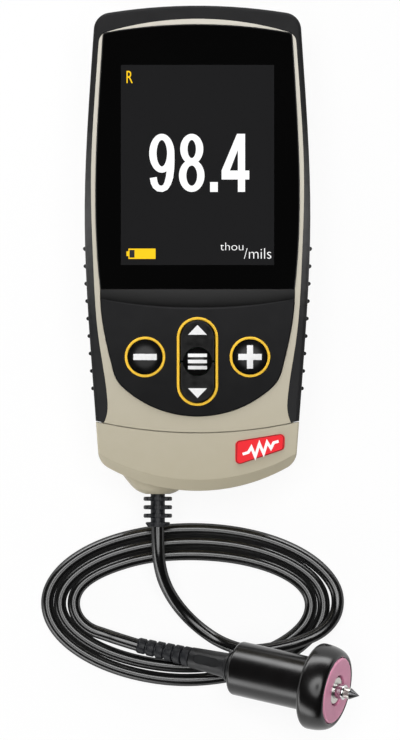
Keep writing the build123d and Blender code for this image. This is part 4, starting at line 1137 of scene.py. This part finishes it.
class GAUGE_OT_probe_body(bpy.types.Operator):
    """Build the probe's housing with its rounded flange and finish the barrel"""

    bl_idname = "gauge.probe_body"
    bl_label = "Probe body"

    def execute(self, context):
        probe = settings().probe
        body, flange = probe.body_radius / MM, probe.flange_radius / MM
        rear, step = -probe.body_rear / MM, -probe.flange_rear / MM
        cable_hole, bore, rear_wall = 3.05, 6.3, 3.2
        seat_radius, seat_depth, seat_rim = 9.65, -3.0, -0.5
        front_round, round_centre, round_width, round_depth = -6.2, 10.2, 2.3, 6.05
        corners = [(cable_hole, rear, 0), (body, rear, 1.1), (body, step, 0.5), (flange, step, 1.5),
                   (flange, front_round, 0)]
        for turn in range(6, 91, 6):
            angle = math.radians(turn)
            corners.append((round_centre + round_width * math.cos(angle),
                            front_round + round_depth * math.sin(angle), 0))
        corners += [(seat_radius, seat_rim, 0), (seat_radius, seat_depth, 0), (bore, seat_depth, 0),
                    (bore, rear + rear_wall, 0), (cable_hole, rear + rear_wall, 0)]
        housing = turned("probe_shell", rounded(corners), probe_place, steps=128)
        add_piece("probe_shell", housing, probe_gloss(), "lead", "black_plastic", ("probe_housing",))
        dress(barrel_rubber(), "probe_barrel")
        return {"FINISHED"}


class GAUGE_OT_probe_face(bpy.types.Operator):
    """Build the wear ring, the sleeve, the plunger and its point"""

    bl_idname = "gauge.probe_face"
    bl_label = "Probe face"

    def execute(self, context):
        # Corners are given as radius, height from the measuring face and rounding
        pieces = [
            ("ground_wear_ring", "lead", "ceramic", "wear_ring", ceramic(),
             [(4.5, -3.0, 0), (9.6, -3.0, 0), (9.6, 0, 0.5), (4.5, 0, 0.3)]),
            ("steel_sleeve", "lead", "steel", "guide_sleeve", turned_steel(),
             [(2.24, -16.0, 0), (3.95, -16.0, 0), (3.95, -6.2, 0), (6.25, -6.2, 0), (6.25, -3.2, 0),
              (3.95, -3.2, 0), (3.95, -0.4, 0.3), (2.24, -0.4, 0.15)]),
            ("sprung_plunger", "tip", "chrome", "tip_plunger", hard_chrome(),
             [(0, -20.9, 0), (1.4, -20.9, 0.1), (1.4, -17.7, 0), (3.1, -17.7, 0.15), (3.1, -16.2, 0.15),
              (2.2, -16.2, 0), (2.2, 2.4, 0.45), (1.6, 2.4, 0), (1.6, -0.6, 0), (0, -0.6, 0)]),
            ("ground_point", "tip", "carbide", "carbide_tip", carbide(),
             [(0, -0.6, 0), (1.6, -0.6, 0), (1.6, 4.0, 0.15), (0.06, 6.72, 0.03), (0, 6.74, 0)]),
        ]
        for name, body, slot, node, material, corners in pieces:
            add_piece(name, turned(name, rounded(corners), probe_place), material, body, slot, (node,))
        return {"FINISHED"}


class GAUGE_OT_return_spring(bpy.types.Operator):
    """Wind the spring that pushes the plunger out, on a mesh of its own"""

    bl_idname = "gauge.return_spring"
    bl_label = "Return spring"

    def execute(self, context):
        turns, steps, wire_sides = 5, 36, 8
        wire, coil = 0.3, 2.3
        rear, front = -27.3, -18.1
        rows = []
        for step in range(turns * steps + 1):
            turn, height = 2 * math.pi * step / steps, rear + (front - rear) * step / (turns * steps)
            rows.append([probe_place(coil + wire * math.cos(side), height + wire * math.sin(side), turn)
                         for side in circle(wire_sides)])
        steel = inner_finish("spring_steel", (178, 176, 172), 0.3, 1.0)
        spring = add_piece("return_spring", skin("return_spring", rows), steel, "lead", "steel",
                           ("tip_spring",))
        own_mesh(spring)
        return {"FINISHED"}


class GAUGE_OT_insides(bpy.types.Operator):
    """Finish what the case and the probe hold inside"""

    bl_idname = "gauge.insides"
    bl_label = "Insides"

    def execute(self, context):
        for name, shade, roughness, metallic, nodes in (
            ("board_lacquer", (24, 92, 52), 0.4, 0.0, ("circuit_board", "probe_board")),
            ("chip_resin", (30, 30, 32), 0.5, 0.0, ("board_chips",)),
            ("black_moulding", (26, 26, 27), 0.45, 0.0, ("buzzer", "probe_plug", "probe_socket")),
            ("stamped_steel", (186, 184, 180), 0.32, 1.0,
             ("battery_contacts", "dome_switches", "housing_screws")),
            ("display_can", (150, 152, 155), 0.36, 1.0, ("display_frame",)),
            ("display_face", (20, 22, 26), 0.12, 0.0, ("display_glass",)),
            ("gold_plate", (232, 190, 96), 0.24, 1.0, ("plug_contacts",)),
            ("copper_wire", (196, 112, 66), 0.34, 1.0, ("sensing_coil",)),
            ("battery_sleeve", (50, 96, 150), 0.35, 0.0, ("batteries",)),
        ):
            dress(inner_finish(name, shade, roughness, metallic), *nodes)
        return {"FINISHED"}


class GAUGE_PT_panel(bpy.types.Panel):
    """Panel with the gauge's steps and settings"""

    bl_idname = "GAUGE_PT_panel"
    bl_label = "Surface Profile Gauge"
    bl_space_type = "VIEW_3D"
    bl_region_type = "UI"
    bl_category = "Gauge"

    def draw(self, context):
        for operator in OPERATORS:
            self.layout.operator(operator.bl_idname)
        for group in GaugeSettings.__annotations__:
            box = self.layout.box()
            box.label(text=group.capitalize())
            values = getattr(context.scene.gauge, group)
            for name in values.__annotations__:
                box.prop(values, name)


GROUPS = (StageSettings, CaseSettings, DisplaySettings, KeypadSettings, CableSettings, ProbeSettings,
          GaugeSettings)
OPERATORS = (GAUGE_OT_stage, GAUGE_OT_boots, GAUGE_OT_cable, GAUGE_OT_housings, GAUGE_OT_grip, GAUGE_OT_tag,
             GAUGE_OT_window, GAUGE_OT_readout, GAUGE_OT_keypad, GAUGE_OT_rings, GAUGE_OT_keys,
             GAUGE_OT_probe_body, GAUGE_OT_probe_face, GAUGE_OT_return_spring, GAUGE_OT_insides)
CLASSES = (*GROUPS, *OPERATORS, GAUGE_PT_panel)


def register():
    for item in CLASSES:
        bpy.utils.register_class(item)
    bpy.types.Scene.gauge = PointerProperty(type=GaugeSettings)


def unregister():
    del bpy.types.Scene.gauge
    for item in reversed(CLASSES):
        bpy.utils.unregister_class(item)


def main():
    """Makes the whole scene."""
    register()
    bpy.ops.gauge.stage()
    bpy.ops.gauge.boots()
    bpy.ops.gauge.cable()
    bpy.ops.gauge.housings()
    bpy.ops.gauge.grip()
    bpy.ops.gauge.tag()
    bpy.ops.gauge.window()
    bpy.ops.gauge.readout()
    bpy.ops.gauge.keypad()
    bpy.ops.gauge.rings()
    bpy.ops.gauge.keys()
    bpy.ops.gauge.probe_body()
    bpy.ops.gauge.probe_face()
    bpy.ops.gauge.return_spring()
    bpy.ops.gauge.insides()
    bpy.context.view_layer.update()


if __name__ == "__main__":
    main()
